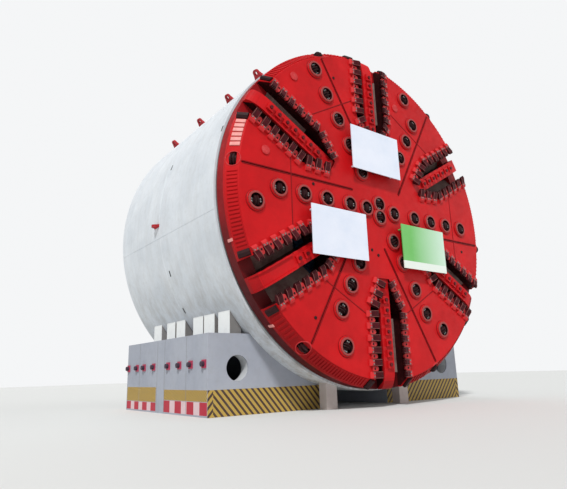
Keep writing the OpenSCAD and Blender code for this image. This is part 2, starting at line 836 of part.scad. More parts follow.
module slurry_pipes() {
    from = bulkhead_y + bulkhead_t;
    long = shield_end - from - pipe_in;
    color("slategray") machine() for (side = [-1, 1])
        translate([side * pipe_space / 2, from, -pipe_down]) rotate([-90, 0, 0]) difference() {
            union() {
                cylinder(r = pipe_r, h = long);
                translate([0, 0, long - pipe_flange_t]) cylinder(r = pipe_flange_r, h = pipe_flange_t);
            }
            translate([0, 0, pipe_t]) cylinder(r = pipe_r - pipe_t, h = long);
            for (k = [0:pipe_bolt_n - 1]) rotate(k * 360 / pipe_bolt_n)
                translate([pipe_pcd / 2, 0, long - pipe_flange_t - 1]) cylinder(r = pipe_bolt_r, h = pipe_flange_t + 2);
        }
}

module lug(h) {
    boss_r = eye_r + eye_wall;
    eye_at = shield_r + h - boss_r;
    root = shield_r - shield_t / 2;
    foot = shield_r + lug_foot;
    difference() {
        union() {
            linear_extrude(lug_t, center = true) polygon([
                [root, -lug_len / 2], [foot, -lug_len / 2], [eye_at, -boss_r],
                [eye_at, boss_r], [foot, lug_len / 2], [root, lug_len / 2],
            ]);
            translate([eye_at, 0, 0]) cylinder(r = boss_r, h = lug_t, center = true);
        }
        translate([eye_at, 0, 0]) cylinder(r = eye_r, h = 2 * lug_t, center = true);
    }
}

module lifting_lugs() {
    color("red") machine() difference() {
        union() {
            for (l = LUGS) rotate([0, -l[0], 0]) translate([0, shield_front + l[1], 0]) lug(lug_h);
            for (l = SIDE_LUGS) rotate([0, -l[0], 0]) translate([0, shield_front + l[1], 0]) lug(side_lug_h);
        }
        turned() square([shield_r, shield_end]);
    }
}

// Cradle
module cradle_outline(inset) {
    difference() {
        translate([cradle_mid + inset, inset])
            square([cradle_side - cradle_mid - 2 * inset, cradle_h - 2 * inset]);
        translate([0, axis_h]) circle(r = shield_r + seat + inset, $fn = fine);
    }
}

module cradle_half(side) {
    color("lightslategray") translate([0, cradle_y - mid_y, 0]) mirror([side < 0 ? 1 : 0, 0, 0]) difference() {
        plate(0, cradle_len) cradle_outline(0);
        plate(cradle_t, cradle_len - cradle_t) cradle_outline(cradle_t);
        translate([manhole_x, -1, manhole_z]) rotate([-90, 0, 0]) cylinder(r = manhole_r, h = cradle_len + 2);
    }
}

// Linings behind the manholes of both end walls
module manhole_linings() {
    color("gainsboro") for (side = [-1, 1], y = [cradle_t, cradle_len - cradle_t - lining_len])
        translate([side * manhole_x, cradle_y - mid_y + y, manhole_z]) rotate([-90, 0, 0]) difference() {
            cylinder(r = manhole_r + lining_t, h = lining_len);
            translate([0, 0, -1]) cylinder(r = manhole_r, h = lining_len + 2);
        }
}

module front_props() {
    color("white") for (side = [-1, 1]) translate([side * prop_x - prop_w / 2, shield_front + prop_in - mid_y, 0])
        difference() {
            cube([prop_w, prop_d, cradle_h]);
            translate([prop_w / 2 - side * prop_x, -1, axis_h]) rotate([-90, 0, 0])
                cylinder(r = shield_r + seat, h = prop_d + 2, $fn = fine);
        }
}

// A place of the stools' and tie heads' tables, along the machine
function along_cradle(place) = cradle_y + place[0] * cradle_len + place[1] - mid_y;

module stools() {
    color("white") difference() {
        for (side = [-1, 1], place = STOOLS)
            translate([side > 0 ? stool_x - stool_d : -stool_x, along_cradle(place) - stool_len / 2, cradle_h])
                cube([stool_d, stool_len, axis_h - cradle_h]);
        translate([0, -mid_y, axis_h]) rotate([-90, 0, 0]) cylinder(r = shield_r + seat, h = shield_end, $fn = fine);
    }
}

module tie_heads() {
    color("firebrick") for (side = [-1, 1], place = TIES)
        translate([side * cradle_side, along_cradle(place), tie_z]) rotate([0, side * 90, 0]) {
            translate([-tie_plate / 2, -tie_plate / 2, 0]) cube([tie_plate, tie_plate, tie_plate_t]);
            cylinder(r = tie_cap_r, h = tie_plate_t + tie_cap_h);
        }
}

head_centre();
main_arm(0);  // main_arm_1
main_arm(1);  // main_arm_2
main_arm(2);  // main_arm_3
main_arm(3);  // main_arm_4
main_arm(4);  // main_arm_5
main_arm(5);  // main_arm_6
spokes();
spoke_plain();
spoke_inserts();
rim_ring();
knives(0);  // knives_1
knives(1);  // knives_2
knives(2);  // knives_3
knives(3);  // knives_4
knives(4);  // knives_5
knives(5);  // knives_6
edge_guards();
rim_scrapers();
board(0, "white");  // board_upper
board(1, "white");  // board_left
board(2, "mediumseagreen");  // board_right
head_carrier();
discs_centre();
discs_arm(0);  // discs_arm_1
discs_arm(1);  // discs_arm_2
discs_arm(2);  // discs_arm_3
discs_arm(3);  // discs_arm_4
discs_arm(4);  // discs_arm_5
discs_arm(5);  // discs_arm_6
disc_outer(1);  // disc_outer_2
disc_outer(3);  // disc_outer_4
disc_outer(4);  // disc_outer_5
disc_outer(5);  // disc_outer_6
disc_rim(0);  // disc_rim_1
disc_rim(1);  // disc_rim_2
disc_rim(2);  // disc_rim_3
disc_rim(3);  // disc_rim_4
disc_rim(4);  // disc_rim_5
disc_rim(5);  // disc_rim_6
shell(shield_front, shell_joint);  // front_shield
shell(shell_joint, shield_end);  // rear_shield
shield_rings();
bulkhead();
main_drive();
drive_motors();
thrust_cylinders();
thrust_shoes();
man_lock();
man_lock_door();
slurry_pipes();
lifting_lugs();
cradle_half(-1);  // cradle_left
cradle_half(1);  // cradle_right
manhole_linings();
front_props();
stools();
tie_heads();
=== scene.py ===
# Looks of a full-face tunnel boring machine: cutterhead, shield and cradle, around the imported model.
import logging
import math
from collections.abc import Iterator
from dataclasses import dataclass
from enum import Enum
from functools import reduce
from typing import ClassVar

import bpy
import numpy as np
from mathutils import Matrix, Vector


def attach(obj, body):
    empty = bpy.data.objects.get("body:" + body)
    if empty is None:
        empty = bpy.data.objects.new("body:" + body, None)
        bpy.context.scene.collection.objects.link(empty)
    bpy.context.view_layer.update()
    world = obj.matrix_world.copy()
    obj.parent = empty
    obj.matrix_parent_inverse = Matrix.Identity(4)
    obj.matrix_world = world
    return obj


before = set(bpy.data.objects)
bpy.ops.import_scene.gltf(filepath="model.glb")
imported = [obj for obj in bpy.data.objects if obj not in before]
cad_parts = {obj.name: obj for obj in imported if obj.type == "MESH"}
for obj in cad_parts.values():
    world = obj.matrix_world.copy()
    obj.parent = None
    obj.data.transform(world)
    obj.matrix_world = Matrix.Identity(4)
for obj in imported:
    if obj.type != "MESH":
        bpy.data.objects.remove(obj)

LOG = logging.getLogger("machine")
SHARP_DEG = 32.0  # edges that turn by more stay sharp
SUNK = 0.004  # how far a welded piece goes into what carries it
RIPPLE, CROWN, ROOT = 0.14, 0.7, 0.35  # of a bead: swell and height as shares, and how far its root tucks under
HEAD, WASHER = ((1.0, 0.15), (1.0, 0.85), (0.84, 1.0)), ((1.35, 0.0), (1.35, 0.16))  # of a bolt, as shares
Pair = tuple[float, float]
Triple = tuple[float, float, float]
Span = tuple[float, float, int]  # first, last and count
Ring = tuple[int, float, float]  # count, radius and height
Box = tuple[float, float, float, float]  # width, depth, height and chamfer
Profile = tuple[Pair, ...] | np.ndarray  # radius and height
Numbers = float | np.ndarray
Tree = bpy.types.NodeTree
Source = bpy.types.NodeSocket | bpy.types.Node
Input = Source | float | tuple[float, ...] | None
UNUSED = (None,) * 5  # the inputs of the mix node for numbers and vectors
# Detail and roughness of the noises of patches, drifts and grain.
PATCHES, DRIFTS, GRAIN = (5.0, 0.6), (7.0, 0.68), (3.0, 0.5)
# Where in a noise the shade, the dust and the dust's dullness start and are full, and the roughness's own limits:
# how far clean paint is under its roughness, the least there is, and how far dusty paint is over it.
SHADED, SETTLED, DULLED, CLEAN, LEAST, DULL = (0.36, 0.66), (0.5, 0.8), (0.3, 0.75), 0.08, 0.05, 0.16


# Shapes


@dataclass(frozen=True)
class Shape:
    """Points (n, 3) in metres, and the quads (m, 4) and triangles (k, 3) of point numbers that join them,
    counter-clockwise from outside."""

    points: np.ndarray
    quads: np.ndarray
    tris: np.ndarray

    def copies(self, origins: np.ndarray, frames: np.ndarray | None = None) -> "Shape":
        """Sets the shape down many times: point = origin + x * first row + y * second row + z * third row.

        Args:
            origins: array (k, 3), where each copy's own origin goes.
            frames: array (k, 3, 3) whose rows are each copy's X, Y and Z directions; upright without it.

        Returns:
            One shape that holds all the copies.
        """
        count = len(origins)
        if frames is None:
            frames = np.broadcast_to(np.eye(3), (count, 3, 3))
        moved = np.einsum("nj,kji->kni", self.points, frames) + np.asarray(origins)[:, None]
        shift = (np.arange(count) * len(self.points))[:, None, None]
        return Shape(moved.reshape(-1, 3), (self.quads + shift).reshape(-1, 4), (self.tris + shift).reshape(-1, 3))


def joined(*shapes: Shape) -> Shape:
    """Puts several shapes into one, with each one's point numbers moved on by the points before it."""
    starts = np.cumsum([0] + [len(s.points) for s in shapes[:-1]])
    return Shape(
        np.concatenate([s.points for s in shapes]),
        np.concatenate([s.quads + n for s, n in zip(shapes, starts)]),
        np.concatenate([s.tris + n for s, n in zip(shapes, starts)]),
    )


def surface(points: np.ndarray, around: bool, along: bool = False, caps: bool = False) -> Shape:
    """Covers a grid of points with quads: quad (i, j) joins points (i, j), (i+1, j), (i+1, j+1) and (i, j+1).

    Args:
        points: array (nu, nv, 3), u counter-clockwise seen from where v ends.
        around: the u direction closes on itself.
        along: the v direction closes on itself.
        caps: the first and the last ring are closed by a fan to their middle.

    Returns:
        The surface as a shape.
    """
    nu, nv = points.shape[:2]
    number = np.arange(nu * nv).reshape(nu, nv)
    if around:
        number = np.concatenate([number, number[:1]])
    if along:
        number = np.concatenate([number, number[:, :1]], axis=1)
    quads = np.stack([number[:-1, :-1], number[1:, :-1], number[1:, 1:], number[:-1, 1:]], -1).reshape(-1, 4)
    flat = points.reshape(-1, 3)
    tris = np.zeros((0, 3), int)
    if caps:
        first, last = number[:, 0], number[:, -1]
        tris = np.concatenate([
            np.stack([first[1:], first[:-1], np.full(len(first) - 1, len(flat))], -1),
            np.stack([last[:-1], last[1:], np.full(len(last) - 1, len(flat) + 1)], -1),
        ])
        flat = np.concatenate([flat, points[:, 0].mean(0)[None], points[:, -1].mean(0)[None]])
    return Shape(flat, quads, tris)


def circle(count: int, radius: float, level: float = 0.0, first: float = 0.5) -> np.ndarray:
    """Places (count, 3) around Z: (r cos t, r sin t, level), with t = 2 pi (i + first) / count."""
    turn = (np.arange(count) + first) * 2 * np.pi / count
    return np.stack([radius * np.cos(turn), radius * np.sin(turn), np.full(count, level)], -1)


def lathe(profile: Profile, sides: int, ring: bool = False) -> Shape:
    """Turns a profile around Z: point (i, j) = (r_j cos t_i, r_j sin t_i, z_j), with t_i in equal steps."""
    # It runs upwards on the outside. A ring's profile is a closed loop around a hole, and other ends are capped.
    points = circle(sides, 1.0, 1.0, 0.0)[:, None] * np.array(profile)[:, [0, 0, 1]]
    return surface(points, around=True, along=ring, caps=not ring)


def block(width: float, depth: float, height: float, cut: float) -> Shape:
    """A block on Z = 0 with chamfered edges: eight-cornered sections, each (half size, half size less the cut).

    Args:
        width: size along X.
        depth: size along Y.
        height: size along Z.
        cut: size of the chamfers.

    Returns:
        The block.
    """
    rings = []
    for level, inset in ((0.0, 0.0), (height - cut, 0.0), (height, cut)):
        x, y, c = width / 2 - inset, depth / 2 - inset, cut
        rings.append([
            (x, -y + c, level), (x, y - c, level), (x - c, y, level), (-x + c, y, level),
            (-x, y - c, level), (-x, -y + c, level), (-x + c, -y, level), (x - c, -y, level),
        ])
    return surface(np.array(rings, float).transpose(1, 0, 2), around=True, caps=True)


def prism(section: np.ndarray, length: float) -> Shape:
    """A straight bar: a convex section (n, 2), counter-clockwise, carried from z = 0 to z = length and capped."""
    ends = [np.column_stack([section, np.full(len(section), z)]) for z in (0.0, length)]
    return surface(np.stack(ends, 1), around=True, caps=True)


def hex_head(radius: float, height: float) -> Shape:
    """A bolt's six-sided head on a round washer: both profiles' shares times (radius, height), turned."""
    size = [radius, height]
    return joined(lathe(np.array(HEAD) * size, sides=6), lathe(np.array(WASHER) * size, sides=12))


def bead(path: np.ndarray, up: np.ndarray, radius: float, pitch: float, closed: bool = False,
         sides: int = 7) -> Shape:
    """A weld bead: a half round of radius r (1 + ripple cos(2 pi s / pitch)) carried along a path of length s.

    Args:
        path: array (n, 3), the line of the weld's root.
        up: array (3,) or (n, 3), away from the plate.
        radius: half the bead's width.
        pitch: length of one ripple.
        closed: the path ends where it starts.
        sides: points over the half round, which its root closes.

    Returns:
        The bead.
    """
    ahead = np.roll(path, -1, 0) - np.roll(path, 1, 0) if closed else np.gradient(path, axis=0)
    ahead = ahead / np.linalg.norm(ahead, axis=1, keepdims=True)
    up = np.broadcast_to(up, path.shape)
    side = np.cross(ahead, up)
    run = np.concatenate([[0], np.cumsum(np.linalg.norm(np.diff(path, axis=0), axis=1))])
    swell = radius * (1 + RIPPLE * np.cos(2 * np.pi * run / pitch))
    turn = np.linspace(np.pi + ROOT, -ROOT, sides)
    points = path[:, None] + swell[:, None, None] * (
        np.cos(turn)[None, :, None] * side[:, None] + CROWN * np.sin(turn)[None, :, None] * up[:, None])
    return surface(points.transpose(1, 0, 2), around=True, along=closed, caps=not closed)


@dataclass(frozen=True)
class Axis:
    """The machine's axis: an angle from +X towards +Z, a radius, and a place behind the rim's front edge."""

    height: float = 8.193
    shift: float = 4.735

    def point(self, angle: Numbers, radius: Numbers, along: Numbers) -> np.ndarray:
        """Place = (r cos a, along - shift, height + r sin a), for arrays of any matching shape."""
        a = np.radians(angle)
        parts = radius * np.cos(a), along - self.shift, self.height + radius * np.sin(a)
        return np.stack(np.broadcast_arrays(*parts), -1)

    def frames(self, angle: Numbers, tilt: float = 0.0) -> np.ndarray:
        """Directions of something that stands on the head: X outward, Y around, Z away from the surface.

        Args:
            angle: one angle around the axis, or k of them.
            tilt: degrees from the flat face to the surface's slope; 90 is on the shell, with X to the rear.

        Returns:
            Array (k, 3, 3); row Z is -Y turned by the tilt towards the outside.
        """
        a, t = np.radians(np.atleast_1d(angle)), math.radians(tilt)
        out = np.stack([np.cos(a), np.zeros_like(a), np.sin(a)], -1)
        forward = np.array([0.0, -1.0, 0.0])
        x = math.cos(t) * out - math.sin(t) * forward
        z = math.sin(t) * out + math.cos(t) * forward
        return np.stack([x, np.cross(z, x), z], 1)

    def stand(self, shape: Shape, angle: Numbers, radius: Numbers, along: Numbers, tilt: float = 0.0) -> Shape:
        """Copies of a shape at places around the axis, turned by their frames."""
        return shape.copies(self.point(angle, radius, along), self.frames(angle, tilt))

    def rearward(self, angle: Numbers) -> np.ndarray:
        """Directions of something that stands on a face turned to the rear: X outward, Y around, Z back."""
        x, z = self.frames(angle)[:, 0], np.array([0.0, 1.0, 0.0])
        return np.stack([x, np.cross(z, x), np.broadcast_to(z, x.shape)], 1)

    def behind(self, shape: Shape, angle: Numbers, radius: Numbers, along: Numbers) -> Shape:
        """Copies of a shape at places on a face turned to the rear, turned by their frames."""
        return shape.copies(self.point(angle, radius, along), self.rearward(angle))


@dataclass(frozen=True)
class Opening:
    """A muck opening about its spoke: half its width grows from the spoke's at the start to the full one. Its
    turn is the degrees to it from an arm."""

    turn: float = 30.0
    start: float = 3.000
    full: float = 4.300
    half: float = 0.950
    spoke_half: float = 0.300


AXIS = Axis()
SLOT = Opening()


# Finishes


def tone(code: str) -> tuple[float, float, float, float]:
    """Turns an sRGB hex value to linear: c / 12.92 below 0.04045, else ((c + 0.055) / 1.055) to the power 2.4.

    Args:
        code: six hex digits.

    Returns:
        Linear red, green and blue, and an alpha of 1.
    """
    share = [int(code[i:i + 2], 16) / 255 for i in (0, 2, 4)]
    red, green, blue = (c / 12.92 if c <= 0.04045 else ((c + 0.055) / 1.055) ** 2.4 for c in share)
    return (red, green, blue, 1.0)


def add(tree: Tree, kind: str, *inputs: Input, **named: Input | str) -> bpy.types.Node:
    """Adds one node, with its settings and what feeds it.

    Args:
        tree: the node tree.
        kind: the node's type, without its prefix.
        inputs: the first inputs in order: values, sockets, nodes for their first output, or None to skip one.
        named: attributes, and more inputs by name, with underscores for spaces.

    Returns:
        The node.
    """
    made = tree.nodes.new("ShaderNode" + kind)
    spaced = {key.replace("_", " "): value for key, value in named.items() if not hasattr(made, key)}
    for key in named:
        if hasattr(made, key):
            setattr(made, key, named[key])
    for key, value in (*enumerate(inputs), *spaced.items()):
        if isinstance(value, Source):
            tree.links.new(value.outputs[0] if isinstance(value, bpy.types.Node) else value, made.inputs[key])
        elif value is not None:
            made.inputs[key].default_value = value
    return made


def product(tree: Tree, *masks: Source) -> Source:
    """Multiplies masks, so that the result is 1 only where all of them are."""
    return reduce(lambda total, mask: add(tree, "Math", total, mask, operation="MULTIPLY"), masks)


def window(tree: Tree, value: Source, low: float, high: float) -> Source:
    """A mask that is 1 where low < value < high: the product of two comparisons."""
    over = add(tree, "Math", value, low, operation="GREATER_THAN")
    return product(tree, over, add(tree, "Math", value, high, operation="LESS_THAN"))


def stripes(tree: Tree, value: Source, pitch: float, share: float) -> Source:
    """A mask that repeats: 1 where the fraction of value / pitch is under the share."""
    part_of = add(tree, "Math", add(tree, "Math", value, pitch, operation="DIVIDE"), operation="FRACT")
    return add(tree, "Math", part_of, share, operation="LESS_THAN")


def about_axis(tree: Tree, place: Source) -> tuple[Source, ...]:
    """Splits a place, also by the machine's axis: its radius is the length of (x, height).

    Args:
        tree: the node tree.
        place: Object coordinates.

    Returns:
        x, y and z, the height above the axis, and the radius.
    """
    x, y, z = add(tree, "SeparateXYZ", place).outputs
    height = add(tree, "Math", z, AXIS.height, operation="SUBTRACT")
    flat = add(tree, "CombineXYZ", x, height)
    return x, y, z, height, add(tree, "VectorMath", flat, operation="LENGTH").outputs["Value"]


class Along(Enum):
    """The coordinate that a wash grows along."""

    X = "X"
    Z = "Z"


@dataclass(frozen=True)
class Wash:
    """A colour over a finish, whose share grows from start to end; 0.1 mm between them is a masked edge.

    Mirrored, it grows along |x|, so that both sides of the machine are alike.
    """

    code: str
    along: Along
    start: float
    end: float
    most: float = 1.0
    mirrored: bool = False

    def mask(self, tree: Tree, place: Source) -> Source:
        """The share: most (place - start) / (end - start), held between 0 and most.

        Args:
            tree: the node tree.
            place: Object coordinates.

        Returns:
            The mask.
        """
        value = add(tree, "SeparateXYZ", place).outputs[self.along.value]
        if self.mirrored:
            value = add(tree, "Math", value, operation="ABSOLUTE")
        return add(tree, "MapRange", value, self.start, self.end, 0.0, self.most)


@dataclass(frozen=True)
class Finish:
    """Two-pack enamel sprayed on welded plate: even colour in soft patches, dust in drifts, a fine orange peel.

    Orange peel is about 3 mm wide; it is drawn at grain_mm so that it shows from across a yard.
    """

    name: str
    slot: str
    base: str
    shade: str
    dust: str
    rough: float = 0.5
    metallic: float = 0.0
    patch_mm: float = 1400.0
    drift_mm: float = 260.0
    grain_mm: float = 60.0
    dusty: float = 0.25
    relief: float = 0.25
    gloss: float = 0.3
    peel: float = 0.004
    washes: tuple[Wash, ...] = ()

    def layers(self, tree: Tree, place: Source) -> list[tuple[str, Source]]:
        """What is painted over the finish's own colour, in order: hex colours with their masks."""
        return [(wash.code, wash.mask(tree, place)) for wash in self.washes]

    def material(self) -> bpy.types.Material:
        """Builds the material once: base and shade mixed by a soft noise, layers, dust in drifts, roughness that
        follows the dust, and a fine bump.

        Returns:
            The material.
        """
        if self.name in bpy.data.materials:
            return bpy.data.materials[self.name]
        made = bpy.data.materials.new(self.name)
        made.use_nodes = True
        tree = made.node_tree
        tree.nodes.clear()
        place = add(tree, "TexCoord").outputs["Object"]
        noises = (self.patch_mm, *PATCHES), (self.drift_mm, *DRIFTS), (self.grain_mm, *GRAIN)
        patches, drifts, grain = (
            add(tree, "TexNoise", place, Scale=1000 / size, Detail=detail, Roughness=rough)
            for size, detail, rough in noises)
        spread = add(tree, "MapRange", patches, *SHADED)
        colour = add(tree, "Mix", spread, *UNUSED, tone(self.base), tone(self.shade), data_type="RGBA").outputs[2]
        dust = add(tree, "MapRange", drifts, *SETTLED, 0.0, self.dusty)
        for code, mask in (*self.layers(tree, place), (self.dust, dust)):
            colour = add(tree, "Mix", mask, *UNUSED, colour, tone(code), data_type="RGBA").outputs[2]
        rough = add(tree, "MapRange", drifts, *DULLED, max(self.rough - CLEAN, LEAST), self.rough + DULL)
        bump = add(tree, "Bump", Strength=self.relief, Distance=self.peel, Height=grain)
        add(tree, "OutputMaterial", add(
            tree, "BsdfPrincipled", Base_Color=colour, Metallic=self.metallic, Roughness=rough, Normal=bump,
            Specular_IOR_Level=self.gloss))
        return made


@dataclass(frozen=True)
class HeadEnamel(Finish):
    """The cutterhead's red enamel, rubbed grey on the collars, with painted shade down the lower cone, and dark
    with grease and painted shade in grooves, pockets and openings."""

    # Behind the face, in grooves, pockets and openings: grease with painted shade.
    grease_and_shade: str = "2a0c0e"
    collar: str = "9c4644"
    # A darker red on the cone outside the face, growing downwards: painted shade.
    cone_shade: str = "6a0f13"
    front: float = -5.132
    fade: float = 0.020
    collar_top: float = -5.198
    cone_r: float = 7.16
    cone_pitch: float = 0.85
    inset: float = 0.05
    skin: float = 0.01
    rim_r: float = 7.46
    # Heights where the painted shade down the cone starts and is full, and the most of it.
    wear: Pair = (8.693, 4.693)
    most_cone_shade: float = 0.45

    def layers(self, tree: Tree, place: Source) -> list[tuple[str, Source]]:
        """A painted shade that grows down the cone, the collars' tone where y lies before the flanges' tops, and
        grease with painted shade that grows over the fade behind the front, where the radius is under r0 + pitch
        (y - front) and the rim's.

        Args:
            tree: the node tree.
            place: Object coordinates.

        Returns:
            Hex colours with their masks.
        """
        _, y, z, _, radius = about_axis(tree, place)
        start = self.cone_r - self.inset - self.front * self.cone_pitch
        cone = add(tree, "Math", y, self.cone_pitch, start, operation="MULTIPLY_ADD")
        limit = add(tree, "Math", cone, self.rim_r, operation="MINIMUM")
        inside = add(tree, "Math", radius, limit, operation="LESS_THAN")
        depth = add(tree, "MapRange", y, self.front, self.front + self.fade)
        rubbed = add(tree, "Math", y, self.collar_top, operation="LESS_THAN")
        outer = add(tree, "Math", radius, self.cone_r + self.skin, operation="GREATER_THAN")
        # Painted shade that grows down the cone.
        lower = add(tree, "MapRange", z, *self.wear, 0.0, self.most_cone_shade)
        return [(self.cone_shade, product(tree, outer, lower)), (self.collar, rubbed),
                (self.grease_and_shade, product(tree, inside, depth))]


@dataclass(frozen=True)
class KnifeSteel(Finish):
    """Forged wear steel, bare and dark over the openings, and sprayed red with the arm where it is seated."""

    seat: str = "cc3033"
    seated: float = 0.085

    def layers(self, tree: Tree, place: Source) -> list[tuple[str, Source]]:
        """Folds the angle around the axis into one half opening, d = turn - pingpong(angle, turn), and
        paints the seat's colour where r sin d lies beyond the opening's edge at r cos d.

        Args:
            tree: the node tree.
            place: Object coordinates.

        Returns:
            Hex colours with their masks.
        """
        x, _, _, height, radius = about_axis(tree, place)
        angle = add(tree, "Math", height, x, operation="ARCTAN2")
        step = math.radians(SLOT.turn)
        fold = add(tree, "Math", angle, step, operation="PINGPONG")
        turn = add(tree, "Math", step, fold, operation="SUBTRACT")
        across, along = (product(tree, radius, add(tree, "Math", turn, operation=kind))
                         for kind in ("SINE", "COSINE"))
        edge = add(tree, "MapRange", along, SLOT.start, SLOT.full, SLOT.spoke_half + self.seated,
                   SLOT.half + self.seated)
        return [(self.seat, add(tree, "Math", across, edge, operation="GREATER_THAN"))]


@dataclass(frozen=True)
class ShellEnamel(Finish):
    """The shield's white enamel, grey towards its foot in streaks: rain streaks and painted shade."""

    # The streaks' grey, which also stands as painted shade on the lower shell.
    foot: str = "9a9182"
    stretch: float = 0.12
    fine: float = 2.6
    noise: Pair = (6.0, 0.7)
    shows: Pair = (0.42, 0.7)
    grow: tuple[float, ...] = (6.5, 0.6, 0.12, 0.8)

    def layers(self, tree: Tree, place: Source) -> list[tuple[str, Source]]:
        """Streaks, a noise drawn out along Z, in a grey that grows from one height to a lower one, by its shares.

        Args:
            tree: the node tree.
            place: Object coordinates.

        Returns:
            Hex colours with their masks.
        """
        drawn = add(tree, "Mapping", place, Scale=(1.0, 1.0, self.stretch))
        streaks = add(tree, "TexNoise", drawn, Scale=self.fine, Detail=self.noise[0], Roughness=self.noise[1])
        _, _, z = add(tree, "SeparateXYZ", place).outputs
        low = add(tree, "MapRange", z, *self.grow)
        return [(self.foot, product(tree, low, add(tree, "MapRange", streaks, *self.shows)))]


@dataclass(frozen=True)
class CradleEnamel(Finish):
    """The cradle's blue-grey enamel with painted warning stripes along the foot of its sides and end walls.

    Each lane on a side has its start and end behind the front, its foot and its top.
    """

    yellow: str = "b99a4a"
    black: str = "4b3831"
    red: str = "b3283c"
    pale: str = "d9bfc2"
    side_x: float = 7.235
    front_y: float = -3.060
    back_y: float = 4.890
    skin: float = 0.004
    band: Pair = (-1.0, 0.93)
    across: Pair = (1.9, 9.0)
    corner: float = 0.22
    slant: float = 1.13
    wide: Pair = (0.29, 0.44)
    lanes: tuple[tuple[float, ...], ...] = ((0.045, 3.725, 0.53, 0.93), (4.555, 7.90, 0.42, 1.02))
    thin: Pair = (0.13, 0.25)
    blocks_foot: float = 0.06
    blocks_gap: float = 0.02
    blocks_n: float = 3.55
    red_share: float = 0.55

    def layers(self, tree: Tree, place: Source) -> list[tuple[str, Source]]:
        """Stripes where the fraction of (|x| slope + z) / pitch is under a share on the ends, and on the sides
        lanes of thin stripes over red and pale blocks.

        Args:
            tree: the node tree.
            place: Object coordinates.

        Returns:
            Hex colours with their masks.
        """
        x, along, height = add(tree, "SeparateXYZ", place).outputs
        across = add(tree, "Math", x, operation="ABSOLUTE")
        side = add(tree, "Math", across, self.side_x - self.skin, operation="GREATER_THAN")
        middle = (self.front_y + self.back_y) / 2
        reach = add(tree, "Math", along, middle, operation="SUBTRACT")
        from_middle = add(tree, "Math", reach, operation="ABSOLUTE")
        end = add(tree, "Math", from_middle, middle - self.front_y - self.skin, operation="GREATER_THAN")
        band = product(tree, end, window(tree, height, *self.band), window(tree, across, *self.across))
        painted = [(self.yellow, band)]
        inner, outer = self.across
        for low, high, slope in ((inner, self.side_x - self.corner, -self.slant),
                                 (self.side_x - self.corner, outer, self.slant)):
            run = add(tree, "Math", across, slope, height, operation="MULTIPLY_ADD")
            painted.append((self.black, product(tree, band, window(tree, across, low, high),
                                                stripes(tree, run, *self.wide))))
        for low, high, foot, top in self.lanes:
            span = product(tree, side, window(tree, along, self.front_y + low, self.front_y + high))
            lane = product(tree, span, window(tree, height, foot, top))
            run = add(tree, "Math", along, height, operation="ADD")
            blocks = product(tree, span, window(tree, height, self.blocks_foot, foot - self.blocks_gap))
            start = add(tree, "Math", along, self.front_y + low, operation="SUBTRACT")
            red = stripes(tree, start, (high - low) / self.blocks_n, self.red_share)
            painted += [(self.yellow, lane), (self.black, product(tree, lane, stripes(tree, run, *self.thin))),
                        (self.pale, blocks), (self.red, product(tree, blocks, red))]
        return painted


